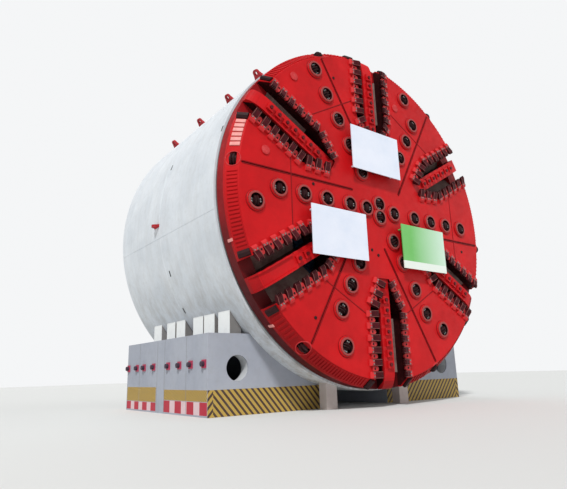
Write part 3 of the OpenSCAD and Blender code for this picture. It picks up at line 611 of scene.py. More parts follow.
class Paint(Enum):
    """Every finish on the machine."""

    # Red enamel: an even, half-matt coat; dark on weld beads as painted shadow, paler where boots and spoil rub
    # it.
    HEAD = HeadEnamel("red_enamel_on_plate", "head_red", "c8151a", "b41116", "8a2a28", rough=0.46, dusty=0.16,
        gloss=0.12)
    SPOKE = HeadEnamel("red_enamel_on_spokes", "head_red", "cc171c", "b5141a", "8a302c", rough=0.46, front=-5.02,
        fade=0.12, gloss=0.12)
    # Dark red beads: painted shadow along the seams and around the flanges' feet.
    SEAM = Finish("red_enamel_on_weld", "head_red", "8f1116", "7a0c12", "5c1c1a", patch_mm=300.0, gloss=0.12)
    # Paler pink: rubbed on the guards, and on the plug caps a painted highlight.
    GUARD = Finish("rubbed_red_enamel_and_painted_highlight", "head_red", "c83a3c", "b4262a", "d87f7b", patch_mm=240.0,
        drift_mm=90.0, dusty=0.4, gloss=0.15)
    # The rim's wash grows darker towards the bottom: painted shade.
    RIM = Finish("red_enamel_on_rim", "rim_red", "a8181d", "861319", "4e2120", gloss=0.15,
        washes=(Wash("3d0d10", Along.Z, 9.5, 4.5, 0.85),))
    LUG = Finish("red_enamel_on_lugs", "lug_red", "b8222b", "93161f", "6a3431", rough=0.45)
    TIE = Finish("red_paint_with_dark_caps", "lug_red", "b8405c", "a5324c", "6d3a40", patch_mm=300.0, dusty=0.1,
        washes=(Wash("40303f", Along.X, 7.277, 7.2771, mirrored=True),))
    # Primer: flat, mottled and dusty.
    DEEP = Finish("red_oxide_primer", "rim_red", "5e2422", "43181a", "6b4640", rough=0.6, patch_mm=500.0,
        dusty=0.4, gloss=0.2)
    STRIP = Finish("pink_primed_wear_strip", "head_red", "e8a29c", "de8a84", "b56c66", patch_mm=300.0)
    INNER = Finish("grey_primer", "inner_grey", "8c8e90", "77797b", "5e5850", rough=0.6, dusty=0.35)
    # Bare wear steel: dark and coarse, with rust-red dust in close drifts.
    PLATE = Finish("scuffed_wear_plate", "tool_steel", "86706a", "674643", "9c8a82", rough=0.55, patch_mm=700.0,
        dusty=0.45, gloss=0.2)
    TOOLS = Finish("wear_steel", "tool_steel", "230e10", "331215", "46231f", patch_mm=180.0,
        drift_mm=60.0, dusty=0.25, relief=0.5, gloss=0.2)
    KNIFE = KnifeSteel("wear_steel_with_red_seat", "tool_steel", "35090d", "52101a", "5c2424",
        patch_mm=220.0, drift_mm=60.0, dusty=0.3, relief=0.5, gloss=0.15)
    CARBIDE = Finish("carbide_insert", "tool_steel", "6a1015", "4a0b10", "7a3a36", patch_mm=90.0,
        grain_mm=25.0, relief=0.8, gloss=0.2)
    # Hard facing, paler than the knives: partly a painted highlight along their edges.
    FACING = Finish("hard_facing_weld_with_painted_highlight", "tool_steel", "7c4844", "6c3835", "a47c76", metallic=0.1,
        patch_mm=90.0, grain_mm=20.0, dusty=0.4, relief=0.8)
    # Coated sheet: smooth and clean, with hardly any grain.
    BOARD = Finish("white_coated_sheet", "board_white", "e3e8f4", "d9e1f0", "c9ccd2", rough=0.34, dusty=0.08,
        relief=0.05)
    GREEN = Finish("green_coated_sheet", "board_green", "66b658", "74c06a", "b9d8b4", rough=0.34, dusty=0.08,
        patch_mm=2600.0, relief=0.05,
        washes=(Wash("d9ece2", Along.X, 1.600, 3.900, 0.8), Wash("e2eae2", Along.Z, 6.0401, 6.040)))
    # Pale and coloured enamel: weathered in broad patches, with grey dust.
    SHELL = ShellEnamel("white_enamel_on_shell", "shield_white", "e0e5ea", "d3d9df", "aaa69d", rough=0.44,
        dusty=0.2)
    DRIVE = Finish("blue_enamel", "drive_blue", "4d7398", "3f6387", "4c4f52", rough=0.45, dusty=0.3)
    CRADLE = CradleEnamel("blue_grey_enamel_with_stripes", "cradle_grey", "a7abb5", "999eaa", "8b877f",
        patch_mm=2200.0, dusty=0.2)
    PROP = Finish("pale_enamel", "prop_white", "c9c1bd", "b9aaa5", "998880")
    LINING = Finish("pale_enamel_on_lining", "prop_white", "cfd1d3", "bfc2c6", "a3a09a")
    # The stools' grey on all but their outer faces is painted shade; the outer faces are white.
    STOOL = Finish("white_enamel_on_stools_with_painted_shade", "prop_white", "8d8a88", "7c7977", "6d6660", dusty=0.12,
        washes=(Wash("eef0ee", Along.X, 6.179, 6.1791, mirrored=True),))
    DOOR = Finish("yellow_enamel", "door_yellow", "d8a51d", "c69417", "8f7840", rough=0.45)
    # Rubber: black and dull. Chromed and zinc-plated steel: bright, the one even and the other spangled.
    SLOT = Finish("rubber_cover", "inner_grey", "242526", "1b1c1d", "4a4845", rough=0.7, patch_mm=200.0)
    MACHINED = Finish("ground_chromed_steel", "machined_steel", "c9ccd0", "b6b9bd", "8e8c88", rough=0.25,
        metallic=1.0, dusty=0.1, relief=0.05)
    BRIGHT = Finish("zinc_plated_bolts", "machined_steel", "9a9a98", "7f7f7e", "5c5852", rough=0.42, metallic=0.8,
        patch_mm=60.0, relief=0.1)


Piece = tuple[str, Shape, Paint]
Upright = tuple[float, float, int, float]  # a bead: how far sunk, gap at its ends, points and half its width
Wears = ClassVar[dict[Paint, tuple[str, ...]]]  # nodes of the CAD model by their finish


def place_piece(name: str, shape: Shape, paint: Paint, body: str) -> None:
    """Makes an object from a shape, with its place in its mesh, and lets it ride on a body.

    Args:
        name: the piece's name.
        shape: its points and faces.
        paint: its finish.
        body: the body that it moves with.
    """
    mesh = bpy.data.meshes.new(name)
    mesh.vertices.add(len(shape.points))
    mesh.vertices.foreach_set("co", np.ascontiguousarray(shape.points, np.float32).ravel())
    corners = np.concatenate([shape.quads.ravel(), shape.tris.ravel()]).astype(np.int32)
    mesh.loops.add(len(corners))
    mesh.loops.foreach_set("vertex_index", corners)
    sizes = np.concatenate([np.full(len(shape.quads), 4), np.full(len(shape.tris), 3)])
    mesh.polygons.add(len(sizes))
    mesh.polygons.foreach_set("loop_start", (np.cumsum(sizes) - sizes).astype(np.int32))
    mesh.polygons.foreach_set("use_smooth", np.ones(len(sizes), bool))
    mesh.update(calc_edges=True)
    mesh.validate()
    mesh.set_sharp_from_angle(angle=math.radians(SHARP_DEG))
    mesh.materials.append(paint.value.material())
    made = bpy.data.objects.new(name, mesh)
    bpy.context.scene.collection.objects.link(made)
    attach(made, body)
    LOG.info("%s: %d points, %d faces, on %s", name, len(shape.points), len(sizes), body)


def numbered(name: str, *numbers: int) -> tuple[str, ...]:
    """Names of numbered nodes, of all six arms without numbers."""
    return tuple(f"{name}_{i}" for i in numbers or range(1, 7))


@dataclass
class Assembly:
    """A sub-assembly that rides on one body: finishes with the CAD nodes that wear them, and its pieces."""

    body: str = "shield"
    wears: Wears = {}

    def pieces(self) -> Iterator[Piece]:
        """Yields each piece's name, shape and finish."""
        yield from ()

    def build(self) -> None:
        """Dresses the CAD nodes and adds the pieces."""
        for paint, nodes in self.wears.items():
            for node in nodes:
                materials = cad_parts[node].data.materials
                materials.clear()
                materials.append(paint.value.material())
        for name, shape, paint in self.pieces():
            place_piece(name, shape, paint, self.body)


# The cutterhead


@dataclass(frozen=True)
class Arm:
    """One main arm: its angle, its seam's distance and the radii of the ports in its row."""

    angle: float
    seam: float
    row: tuple[float, ...]


@dataclass
class Cutterhead(Assembly):
    """The red head: ports with collars and bolts, wear strips, beads along the seams and the knives' teeth.

    Places are angle and radius, bolts radius and height, beads radius and ripple.
    """

    body: str = "cutterhead"
    wears: Wears = {
        Paint.HEAD: ("head_centre", *numbered("main_arm")),
        Paint.SPOKE: ("spokes", "spoke_plain"),
        Paint.CARBIDE: ("spoke_inserts",),
        Paint.RIM: ("rim_ring",),
        Paint.DEEP: ("head_carrier",),
        Paint.GUARD: ("edge_guards",),
        Paint.KNIFE: numbered("knives"),
        Paint.TOOLS: ("rim_scrapers", "discs_centre", *numbered("discs_arm"), *numbered("disc_outer", 2, 4, 5, 6),
                      *numbered("disc_rim")),
    }
    arms: tuple[Arm, ...] = (
        Arm(0, 5.210, (0.920, 2.300, 3.470, 4.620, 5.800)), Arm(60, 5.010, (3.300, 4.450, 5.600)),
        Arm(120, 4.910, (1.850, 3.140, 4.330, 5.500, 6.670)), Arm(180, 4.800, (0.790, 1.760, 3.030, 4.200, 5.400)),
        Arm(240, 4.530, (2.860, 3.950, 5.120)), Arm(300, 4.460, (1.500, 2.540, 3.870, 5.050)),
    )
    other_ports: tuple[Pair, ...] = (
        (69.0, 6.550), (186.0, 6.500), (247.5, 6.320), (305.5, 6.200), (90.0, 0.300), (270.0, 0.300))
    plugs: tuple[Pair, ...] = ((131.7, 6.750), (166.8, 6.150), (73.1, 5.710))
    nozzles: tuple[Pair, ...] = (
        (111.4, 6.170), (348.6, 5.910), (251.6, 1.920), (263.1, 2.030), (231.0, 6.170), (172.1, 3.730))
    bars: tuple[float, ...] = (196.6, 222.8, 341.0, 36.0)
    bar: Box = (0.300, 0.110, 0.034, 0.006)
    bar_y: float = 0.15
    rim_r: float = 7.500
    face_r: float = 7.160
    face_y: float = -0.400
    cone_r: float = 7.330
    cone_y: float = -0.200
    cone_tilt: float = 49.64
    flange_r: float = 0.400
    flange_h: float = 0.060
    flange_bead: Pair = (0.024, 0.05)
    port_bolt: Pair = (0.014, 0.018)
    port_bolts: Ring = (12, 0.3635, 0.0)
    foot_n: int = 96
    sleeve: Profile = ((0.2697, -0.018), (0.2697, 0.094), (0.266, 0.097), (0.262, 0.092), (0.262, -0.018))
    clamp: Box = (0.105, 0.170, 0.060, 0.012)
    clamp_x: float = 0.196
    clamp_sunk: float = 0.021
    nut: Pair = (0.026, 0.022)
    nut_y: float = 0.045
    strip: Box = (0.400, 0.084, 0.034, 0.008)
    plate: Box = (0.400, 0.150, 0.040, 0.010)
    strip_turns: Span = (-2.9, 18.6, 20)
    plate_turns: Span = (-19.2, -11.2, 6)
    plates_at: float = 180
    groove: Span = (1.540, 7.040, 280)
    groove_side: float = -0.700
    groove_half: float = 0.044
    groove_bead: Pair = (0.022, 0.06)
    seam_bead: Pair = (0.024, 0.06)
    seam_end: float = 0.02
    seam_n: int = 220
    gauge_turn: float = -6.5
    gauge_frame: Profile = (
        (0.304, -0.040), (0.304, 0.008), (0.298, 0.014), (0.276, 0.014), (0.272, 0.010), (0.272, -0.040))
    knife_pitch: float = 0.480
    straight_n: int = 6
    slant_n: int = 3
    teeth: int = 4
    facing: Pair = (0.013, 9.0)
    knife_back: Profile = ((-0.200, 0.1065), (-0.045, 0.114), (0.030, 0.1425), (0.180, 0.190), (0.262, 0.178))
    knife_side: float = 0.116
    tooth_pitch: float = 0.069
    tooth_tip: Pair = (0.278, 0.163)
    tip: Box = (0.037, 0.050, 0.020, 0.006)
    knife_bolts: tuple[Triple, ...] = ((-0.06, -0.130, 0.109), (0.06, -0.130, 0.109))
    guard_bolt: Pair = (0.034, 0.022)
    guard_at: Triple = (0.0, -0.040, 0.070)
    bucket: Profile = ((0.955, 0.120), (0.955, 0.155), (0.295, 0.535), (0.295, 0.500))
    bucket_from: float = 4.600
    bucket_to: float = 6.850
    cap: Profile = ((0.184, -0.004), (0.184, 0.006), (0.172, 0.016), (0.120, 0.021))
    cap_lift: float = 0.030
    nozzle: Profile = ((0.066, -0.006), (0.066, 0.016), (0.056, 0.026), (0.030, 0.026), (0.026, 0.018))

    def on_face(self, shape: Shape, spots: tuple[Pair, ...], lift: float = 0.0) -> Shape:
        """Copies a shape to places on the flat face, its Z away from it and its origin lifted off it."""
        angle, radius = np.array(spots).T
        return AXIS.stand(shape, angle, radius, self.face_y - lift)

    def on_cone(self, shape: Shape, angle: np.ndarray) -> Shape:
        """Copies a shape to the cone's middle at each angle, leaned by the cone's tilt."""
        return AXIS.stand(shape, angle, self.cone_r, self.cone_y, self.cone_tilt)

    def port_pieces(self) -> Iterator[Piece]:
        """On each port a circle of bolts, a dark sleeve in its bore as painted shade with grease, a rippled bead
        around the flange's foot, and wedge clamps over both ends of the cutter's shaft, each with two bright nuts.

        Returns:
            Its pieces.
        """
        ports = [(arm.angle, r) for arm in self.arms for r in arm.row] + list(self.other_ports)
        bolts = hex_head(*self.port_bolt).copies(circle(*self.port_bolts))
        yield "port_bolts", self.on_face(bolts, ports, self.flange_h), Paint.HEAD
        # The dark sleeves in the ports' bores are painted shade with grease.
        yield "port_bore_shade_liners", self.on_face(lathe(self.sleeve, sides=32, ring=True), ports), Paint.TOOLS
        path = circle(self.foot_n, self.flange_r, first=0.0)
        foot = bead(path, np.array([0, 0, 1.0]), *self.flange_bead, closed=True)
        # The dark bead around each flange's foot is a painted shadow.
        yield "port_weld_beads", self.on_face(foot, ports), Paint.SEAM
        ends = np.array([[-self.clamp_x, 0.0, 0.0], [self.clamp_x, 0.0, 0.0]])
        nuts = (ends[:, None] + [[0, self.nut_y, self.clamp[2]], [0, -self.nut_y, self.clamp[2]]]).reshape(-1, 3)
        for name, shape, paint in (
                ("cutter_clamps", block(*self.clamp).copies(ends), Paint.TOOLS),
                ("cutter_clamp_nuts", hex_head(*self.nut).copies(nuts), Paint.BRIGHT)):
            yield name, self.on_face(shape, ports, -self.clamp_sunk), paint

    def wear_strips(self) -> Iterator[Piece]:
        """Strips up the cone at even angles between the tool groups, and wide pale plates in one of them.

        Returns:
            Its pieces.
        """
        long, short = np.linspace(*self.strip_turns), np.linspace(*self.plate_turns)
        red = [arm.angle + long for arm in self.arms]
        red += [arm.angle + short for arm in self.arms if arm.angle != self.plates_at]
        yield "wear_strips", self.on_cone(block(*self.strip), np.concatenate(red)), Paint.HEAD
        yield "wear_plates", self.on_cone(block(*self.plate), self.plates_at + short), Paint.STRIP

    def seam_beads(self) -> Iterator[Piece]:
        """Straight beads on both sides of each arm's groove, and at each arm's seam to the centre piece, out to
        the openings: half its length is (seam - half / 2) tan 30 - half cos 30, with half the opening's width.

        Returns:
            Its pieces.
        """
        beads = []
        groove = np.linspace(*self.groove)[:, None]
        for arm in self.arms:
            out, around, away = AXIS.frames(arm.angle)[0]
            for side in (-self.groove_half, self.groove_half):
                line = AXIS.point(0.0, 0.0, self.face_y) + groove * out + (self.groove_side + side) * around
                beads.append(bead(line, away, *self.groove_bead, sides=5))
            turn = math.radians(SLOT.turn)
            reach = (arm.seam - SLOT.half / 2) * math.tan(turn) - SLOT.half * math.cos(turn)
            line = np.linspace(-reach + self.seam_end, reach - self.seam_end, self.seam_n)[:, None]
            beads.append(bead(AXIS.point(arm.angle, arm.seam, self.face_y) + line * around, away, *self.seam_bead))
        yield "seam_weld_beads", joined(*beads), Paint.SEAM

    def edge_spots(self, first: float = 0.0, fewer: int = 0) -> tuple[np.ndarray, np.ndarray]:
        """Places along both edges of each opening, and frames with X along the edge, Y over the opening and Z away
        from the face.

        Args:
            first: pitches from the first knife of a row to its first place.
            fewer: how many places fewer than knives each row has.

        Returns:
            Arrays (k, 3) and (k, 3, 3).
        """
        start = SLOT.full + (self.face_r - SLOT.full - (self.straight_n - 1) * self.knife_pitch) / 2
        straight = start + (np.arange(self.straight_n - fewer) + first) * self.knife_pitch
        lean = math.atan2(SLOT.half - SLOT.spoke_half, SLOT.full - SLOT.start)
        edge = (SLOT.full - SLOT.start) / math.cos(lean)
        run = edge / 2 + (np.arange(self.slant_n - fewer) + first - (self.slant_n - 1) / 2) * self.knife_pitch
        out = np.concatenate([straight, SLOT.start + run * math.cos(lean)])[:, None]
        edges = np.full(len(straight), SLOT.half), SLOT.spoke_half + run * math.sin(lean)
        across = np.concatenate(edges)[:, None]
        leans = np.concatenate([np.zeros(len(straight)), np.full(len(run), lean)])
        cosine, sine = np.cos(leans)[:, None], np.sin(leans)[:, None]
        origins, frames = [], []
        for arm in self.arms:
            outward, around, away = AXIS.frames(arm.angle + SLOT.turn)[0]
            for side in (1.0, -1.0):
                origins.append(AXIS.point(0.0, 0.0, self.face_y) + out * outward + side * across * around)
                along = -side * cosine * outward - sine * around
                over = -side * cosine * around + sine * outward
                frames.append(np.stack([along, over, np.broadcast_to(away, along.shape)], 1))
        return np.concatenate(origins), np.concatenate(frames)

    def knife_pieces(self) -> Iterator[Piece]:
        """Hard facing on each knife's four teeth and down both its sides, two bolts on its back, and one bolt on
        each guard, half a pitch on from the knives and over the arm.

        Returns:
            Its pieces.
        """
        spots = self.edge_spots()
        places = (np.arange(self.teeth) - (self.teeth - 1) / 2) * self.tooth_pitch
        tips = np.column_stack([places, np.tile(self.tooth_tip, (self.teeth, 1))])
        yield "knife_tips", block(*self.tip).copies(tips).copies(*spots), Paint.TOOLS
        back = np.array(self.knife_back)
        slope = np.gradient(back, axis=0)
        slope /= np.linalg.norm(slope, axis=1, keepdims=True)
        up = np.stack([np.zeros(len(back)), -slope[:, 1], slope[:, 0]], -1)
        edges = [bead(np.column_stack([np.full(len(back), x), back]), up, *self.facing, sides=4)
                 for x in (-self.knife_side, self.knife_side)]
        # The facing's paler tone is partly a painted highlight on the knives' edges.
        yield "knife_hard_facing", joined(*edges).copies(*spots), Paint.FACING
        yield "knife_bolts", hex_head(*self.nut).copies(self.knife_bolts).copies(*spots), Paint.BRIGHT
        bolt = hex_head(*self.guard_bolt).copies([self.guard_at])
        yield "guard_bolts", bolt.copies(*self.edge_spots(first=0.5, fewer=1)), Paint.TOOLS

    def bucket_plates(self) -> Iterator[Piece]:
        """Plates that slope from the arms' walls back to the spokes: a thin section in width and depth, drawn out
        along the opening, once for each side of it.

        Returns:
            Its pieces.
        """
        plate = prism(np.array(self.bucket), self.bucket_to - self.bucket_from)
        plates = []
        for arm in self.arms:
            outward, around, away = AXIS.frames(arm.angle + SLOT.turn)[0]
            for side, start in ((1.0, self.bucket_to), (-1.0, self.bucket_from)):
                rows = np.stack([side * around, -away, np.cross(side * around, -away)])
                plates.append(plate.copies([AXIS.point(0.0, 0.0, 0.0) + start * outward], rows[None]))
        yield "bucket_plates", joined(*plates), Paint.PLATE

    def fittings(self) -> Iterator[Piece]:
        """Domed caps on the closed plugs and grease nozzles on the face, raised rings turned about the cone's
        normal around the gauge cutters' ports, and bars on the rim's shoulder.

        Returns:
            Its pieces.
        """
        # The caps' paler pink is a painted highlight.
        yield "plug_caps", self.on_face(lathe(self.cap, sides=32), self.plugs, self.cap_lift), Paint.GUARD
        yield "grease_nozzles", self.on_face(lathe(self.nozzle, sides=14), self.nozzles), Paint.TOOLS
        angle = np.array([arm.angle + self.gauge_turn for arm in self.arms])
        yield "gauge_port_frames", self.on_cone(lathe(self.gauge_frame, sides=40, ring=True), angle), Paint.GUARD
        bars = AXIS.stand(block(*self.bar), np.array(self.bars), self.rim_r - SUNK, self.bar_y, 90.0)
        yield "rim_bars", bars, Paint.STRIP

    def pieces(self) -> Iterator[Piece]:
        """Yields the head's pieces in order."""
        for step in (self.port_pieces, self.wear_strips, self.seam_beads, self.knife_pieces, self.bucket_plates,
                     self.fittings):
            yield from step()


@dataclass
class Boards(Assembly):
    """The three blank boards in front of the face: a folded edge around each."""

    body: str = "cutterhead"
    wears: Wears = {Paint.BOARD: ("board_upper", "board_left"), Paint.GREEN: ("board_right",)}
    width: float = 2.930
    height: float = 1.980
    front: float = -0.750
    edge_r: float = 0.014
    corner: float = 0.03
    corner_n: int = 5
    edge_n: int = 8
    squeeze: Triple = (0.994, 1.0, 0.991)
    middles: tuple[tuple[str, float, float, Paint], ...] = (
        ("upper", -0.260, 2.560, Paint.BOARD), ("left", -2.660, -1.440, Paint.BOARD),
        ("right", 2.450, -1.500, Paint.GREEN))

    def pieces(self) -> Iterator[Piece]:
        """A small round bar through the four corners of each board, with rounded turns: each ring of points lies
        at edge_r (cos t sideways + sin t back) about the path.

        Returns:
            Its pieces.
        """
        steps = np.linspace(0, np.pi / 2, self.corner_n)
        x, z = self.width / 2 - self.corner, self.height / 2 - self.corner
        corners = []
        for k, (cx, cz) in enumerate(((x, z), (-x, z), (-x, -z), (x, -z))):
            turn = steps + k * np.pi / 2
            arc = cx + self.corner * np.cos(turn), np.zeros(self.corner_n), cz + self.corner * np.sin(turn)
            corners.append(np.stack(arc, -1))
        back = np.array([0, 1.0, 0])
        for name, mx, mz, paint in self.middles:
            middle = [mx, self.front - AXIS.shift + self.edge_r, AXIS.height + mz]
            path = np.concatenate(corners) * self.squeeze + middle
            ahead = np.roll(path, -1, 0) - np.roll(path, 1, 0)
            ahead /= np.linalg.norm(ahead, axis=1, keepdims=True)
            turn = -np.arange(self.edge_n) * 2 * np.pi / self.edge_n
            ring = path[:, None] + self.edge_r * (
                np.cos(turn)[:, None] * np.cross(ahead, back)[:, None] + np.sin(turn)[:, None] * back)
            yield f"board_edge_{name}", surface(ring.transpose(1, 0, 2), around=True, along=True), paint


# Shield and what it holds


@dataclass
class Shield(Assembly):
    """The white shell: its girth weld, the beads at its lugs' feet and the covers over its slots."""

    wears: Wears = {
        Paint.SHELL: ("front_shield", "rear_shield"),
        Paint.INNER: ("bulkhead", "man_lock", "shield_rings"),
        Paint.DRIVE: ("main_drive", "drive_motors", "slurry_pipes", "thrust_cylinders"),
        Paint.MACHINED: ("thrust_shoes",),
        Paint.LUG: ("lifting_lugs",),
        Paint.DOOR: ("man_lock_door",),
    }
    radius: float = 7.560
    front: float = 0.730
    joint: float = 5.630
    girth_n: int = 1440
    girth_bead: Pair = (0.022, 0.08)
    top_lugs: tuple[float, ...] = (132.0, 48.0)
    top_lug_y: tuple[float, ...] = (0.5, 2.9, 5.7, 8.7)
    side_lugs: tuple[Pair, ...] = ((182.0, 5.15), (-2.0, 5.15))
    lug_bead: Pair = (0.018, 0.05)
    lug_side: float = 0.058
    lug_run: Span = (-0.26, 0.26, 60)
    covers: tuple[Pair, ...] = ((161.0, 5.38), (199.0, 5.29), (212.0, 5.38), (160.9, 0.81))
    cover: Box = (0.075, 0.260, 0.012, 0.003)

    def pieces(self) -> Iterator[Piece]:
        """A bead around the joint of the shells, straight beads on both sides of each lug's plate, and dark
        covers mirrored to the far side: angle a and 180 - a.

        Returns:
            Its pieces.
        """
        turn = np.linspace(0, 360, self.girth_n, endpoint=False)
        path = AXIS.point(turn, self.radius - SUNK, self.joint)
        yield "girth_weld", bead(path, AXIS.frames(turn, 90.0)[:, 2], *self.girth_bead, closed=True), Paint.SHELL
        beads = []
        for angle, y in [(a, y) for a in self.top_lugs for y in self.top_lug_y] + list(self.side_lugs):
            back, around, out = AXIS.frames(angle, 90.0)[0]
            for side in (-self.lug_side, self.lug_side):
                middle = AXIS.point(angle, self.radius + SUNK, self.front + y) + side * around
                run = np.linspace(*self.lug_run)[:, None]
                beads.append(bead(middle + run * back, out, *self.lug_bead))
        yield "lug_weld_beads", joined(*beads), Paint.LUG
        angle, along = np.array([*self.covers, *((180.0 - a, y) for a, y in self.covers)]).T
        yield "slot_covers", AXIS.stand(block(*self.cover), angle, self.radius - SUNK, along, 90.0), Paint.SLOT


@dataclass
class Works(Assembly):
    """What shows inside the shield from behind: bolts, motors' flanges, fins and boxes, ribs, glands and pipe
    joints. Bolts are radius and height."""

    bulkhead: float = 2.680
    drive_end: float = 4.200
    drive_r: float = 3.400
    drive_bore: float = 2.300
    drive_bolt: Pair = (0.030, 0.030)
    drive_rings: tuple[tuple[float, int], ...] = ((3.320, 84), (2.370, 56))
    sunk: float = 0.002
    motors: int = 14
    motor_r: float = 0.330
    motor_len: float = 1.250
    motor_bolt: Pair = (0.017, 0.020)
    motor_bolts: Ring = (12, 0.366, 0.041)
    fin_from: float = 0.30
    fin_pitch: float = 0.090
    fin_n: int = 9
    fin: Profile = ((0.004, 0.0), (0.034, 0.006), (0.034, 0.022), (0.004, 0.028))
    foot: Profile = ((0.395, 0.0), (0.395, 0.034), (0.388, 0.042), (0.334, 0.042))
    cover: Profile = ((0.300, -0.004), (0.300, 0.050), (0.286, 0.076), (0.240, 0.092), (0.100, 0.096))
    box: Box = (0.300, 0.260, 0.170, 0.016)
    box_in: float = 0.030
    box_y: float = 0.150
    rib: Box = (3.520, 0.050, 0.250, 0.006)
    rib_r: float = 5.280
    rams: int = 16
    ram_r: float = 7.080
    ram_gap: float = 0.560
    ram_end: float = 9.330
    gland: Profile = (
        (0.186, -0.002), (0.186, 0.022), (0.178, 0.030), (0.142, 0.030), (0.136, 0.022), (0.136, -0.002))
    lock_up: float = 4.700
    lock_y: tuple[float, ...] = (3.300, 4.200, 5.100)
    lock_ring: Profile = ((0.955, 0.0), (0.955, 0.050), (0.896, 0.050), (0.896, 0.0))
    pipe_x: float = 1.300
    pipe_down: float = 5.000
    pipe_y: Pair = (4.700, 7.300)
    flange: Profile = ((0.372, 0.0), (0.372, 0.110), (0.266, 0.110), (0.266, 0.0))
    flange_bolt: Pair = (0.022, 0.024)
    flange_bolts: Ring = (16, 0.322, 0.108)

    def drive_pieces(self) -> Iterator[Piece]:
        """Two rings of bolts near the rim and the bore of the drive's rear face; on each motor its foot flange and
        fins as one ridged ring, its bolts, its domed end cover, and its box on the outer side.

        Returns:
            Its pieces.
        """
        rings = []
        for radius, count in self.drive_rings:
            angle = np.arange(count) * 360 / count + 180 / count
            rings.append(AXIS.behind(hex_head(*self.drive_bolt), angle, radius, self.drive_end - self.sunk))
        yield "drive_bolts", joined(*rings), Paint.BRIGHT
        angle = np.arange(self.motors) * 360 / self.motors
        middle = self.drive_bore / 2 + self.drive_r / 2
        at_foot = angle, middle, self.drive_end - self.sunk
        along = self.fin_from + np.arange(self.fin_n) * self.fin_pitch
        ridges = np.array(self.fin) + np.stack([np.full(self.fin_n, self.motor_r), along], -1)[:, None]
        inner = self.motor_r - SUNK
        profile = np.concatenate([self.foot, ridges.reshape(-1, 2), [[inner, ridges[-1, -1, 1]], [inner, 0.0]]])
        yield "motor_fins", AXIS.behind(lathe(profile, sides=32, ring=True), *at_foot), Paint.DRIVE
        bolts = hex_head(*self.motor_bolt).copies(circle(*self.motor_bolts))
        yield "motor_bolts", AXIS.behind(bolts, *at_foot), Paint.BRIGHT
        cover = AXIS.behind(lathe(self.cover, sides=32), angle, middle, self.drive_end + self.motor_len)
        yield "motor_covers", cover, Paint.DRIVE
        radius = middle + self.motor_r - self.box_in
        boxes = AXIS.stand(block(*self.box), angle, radius, self.drive_end + self.box_y, 90.0)
        yield "motor_boxes", boxes, Paint.INNER

    def ram_pieces(self) -> Iterator[Piece]:
        """Flat ribs along the radius between the rows of cylinders, but for the man lock's, and a gland ring on
        each cylinder's mouth, half a gap to each side of each pair's angle.

        Returns:
            Its pieces.
        """
        angle = np.delete(np.arange(self.rams) * 360 / self.rams, self.rams // 4)
        ribs = AXIS.behind(block(*self.rib), angle, self.rib_r, self.bulkhead - self.sunk)
        yield "bulkhead_ribs", ribs, Paint.INNER
        angle = (np.arange(self.rams) + 0.5) * 360 / self.rams
        ring = lathe(self.gland, sides=32, ring=True)
        sides = circle(2, self.ram_gap / 2)[::-1]
        pairs = [AXIS.behind(ring.copies([side]), angle, self.ram_r, self.ram_end) for side in sides]
        yield "cylinder_glands", joined(*pairs), Paint.BRIGHT

    def lock_and_pipes(self) -> Iterator[Piece]:
        """Stiffening rings around the man lock, and a flanged joint with a circle of bolts at two places on each
        slurry pipe.

        Returns:
            Its pieces.
        """
        along = np.array(self.lock_y)
        ring = lathe(self.lock_ring, sides=56, ring=True)
        upright = np.full(len(along), 90.0)
        yield "man_lock_rings", AXIS.behind(ring, upright, self.lock_up, along), Paint.INNER
        spots = [[side * self.pipe_x, y - AXIS.shift, AXIS.height - self.pipe_down]
                 for side in (-1, 1) for y in self.pipe_y]
        frames = np.repeat(AXIS.rearward(90.0), len(spots), 0)
        yield "pipe_joints", lathe(self.flange, sides=40, ring=True).copies(spots, frames), Paint.DRIVE
        bolts = hex_head(*self.flange_bolt).copies(circle(*self.flange_bolts))
        yield "pipe_bolts", bolts.copies(spots, frames), Paint.BRIGHT

    def pieces(self) -> Iterator[Piece]:
        """Yields the works' pieces in order."""
        for step in (self.drive_pieces, self.ram_pieces, self.lock_and_pipes):
            yield from step()


@dataclass
class Cradle(Assembly):
    """The blue-grey cradle with its stools, props and tie heads: beads at its corners, seams on its sides."""

    wears: Wears = {
        Paint.CRADLE: ("cradle_left", "cradle_right"), Paint.PROP: ("front_props",), Paint.STOOL: ("stools",),
        Paint.LINING: ("manhole_linings",), Paint.TIE: ("tie_heads",)}
    side_x: float = 7.235
    height: float = 2.940
    ends: Pair = (-3.060, 4.890)
    seams: tuple[float, ...] = (-1.330, 0.675, 1.415, 3.385)
    corner_bead: Upright = (0.006, 0.02, 300, 0.012)
    side_bead: Upright = (0.004, 0.03, 200, 0.014)
    ripple: float = 0.05

    def upright(self, x: float, y: float, lean: float, sizes: Upright) -> Shape:
        """A straight bead up the cradle, away from it by the direction (sign of x, lean, 0).

        Args:
            x: where it stands.
            y: where it stands.
            lean: -1 at a front corner, 1 at a rear one, 0 on a side.
            sizes: of the bead.

        Returns:
            The bead.
        """
        sunk, gap, count, half = sizes
        up = np.array([math.copysign(1, x), lean, 0]) / math.hypot(1, lean)
        rise = np.linspace(gap, self.height - gap, count)[:, None] * [0, 0, 1]
        return bead(np.array([x, y, 0]) - up * sunk + rise, up, half, self.ripple)

    def pieces(self) -> Iterator[Piece]:
        """Beads down the four outer corners, and upright seams between the plates of both sides.

        Returns:
            Its pieces.
        """
        sides = (-self.side_x, self.side_x)
        ends = tuple(zip(self.ends, (-1, 1)))
        corners = [self.upright(x, y, lean, self.corner_bead) for x in sides for y, lean in ends]
        yield "cradle_corner_beads", joined(*corners), Paint.CRADLE
        seams = [self.upright(x, y, 0, self.side_bead) for x in sides for y in self.seams]
        yield "cradle_side_seams", joined(*seams), Paint.INNER


# Camera, floor and light


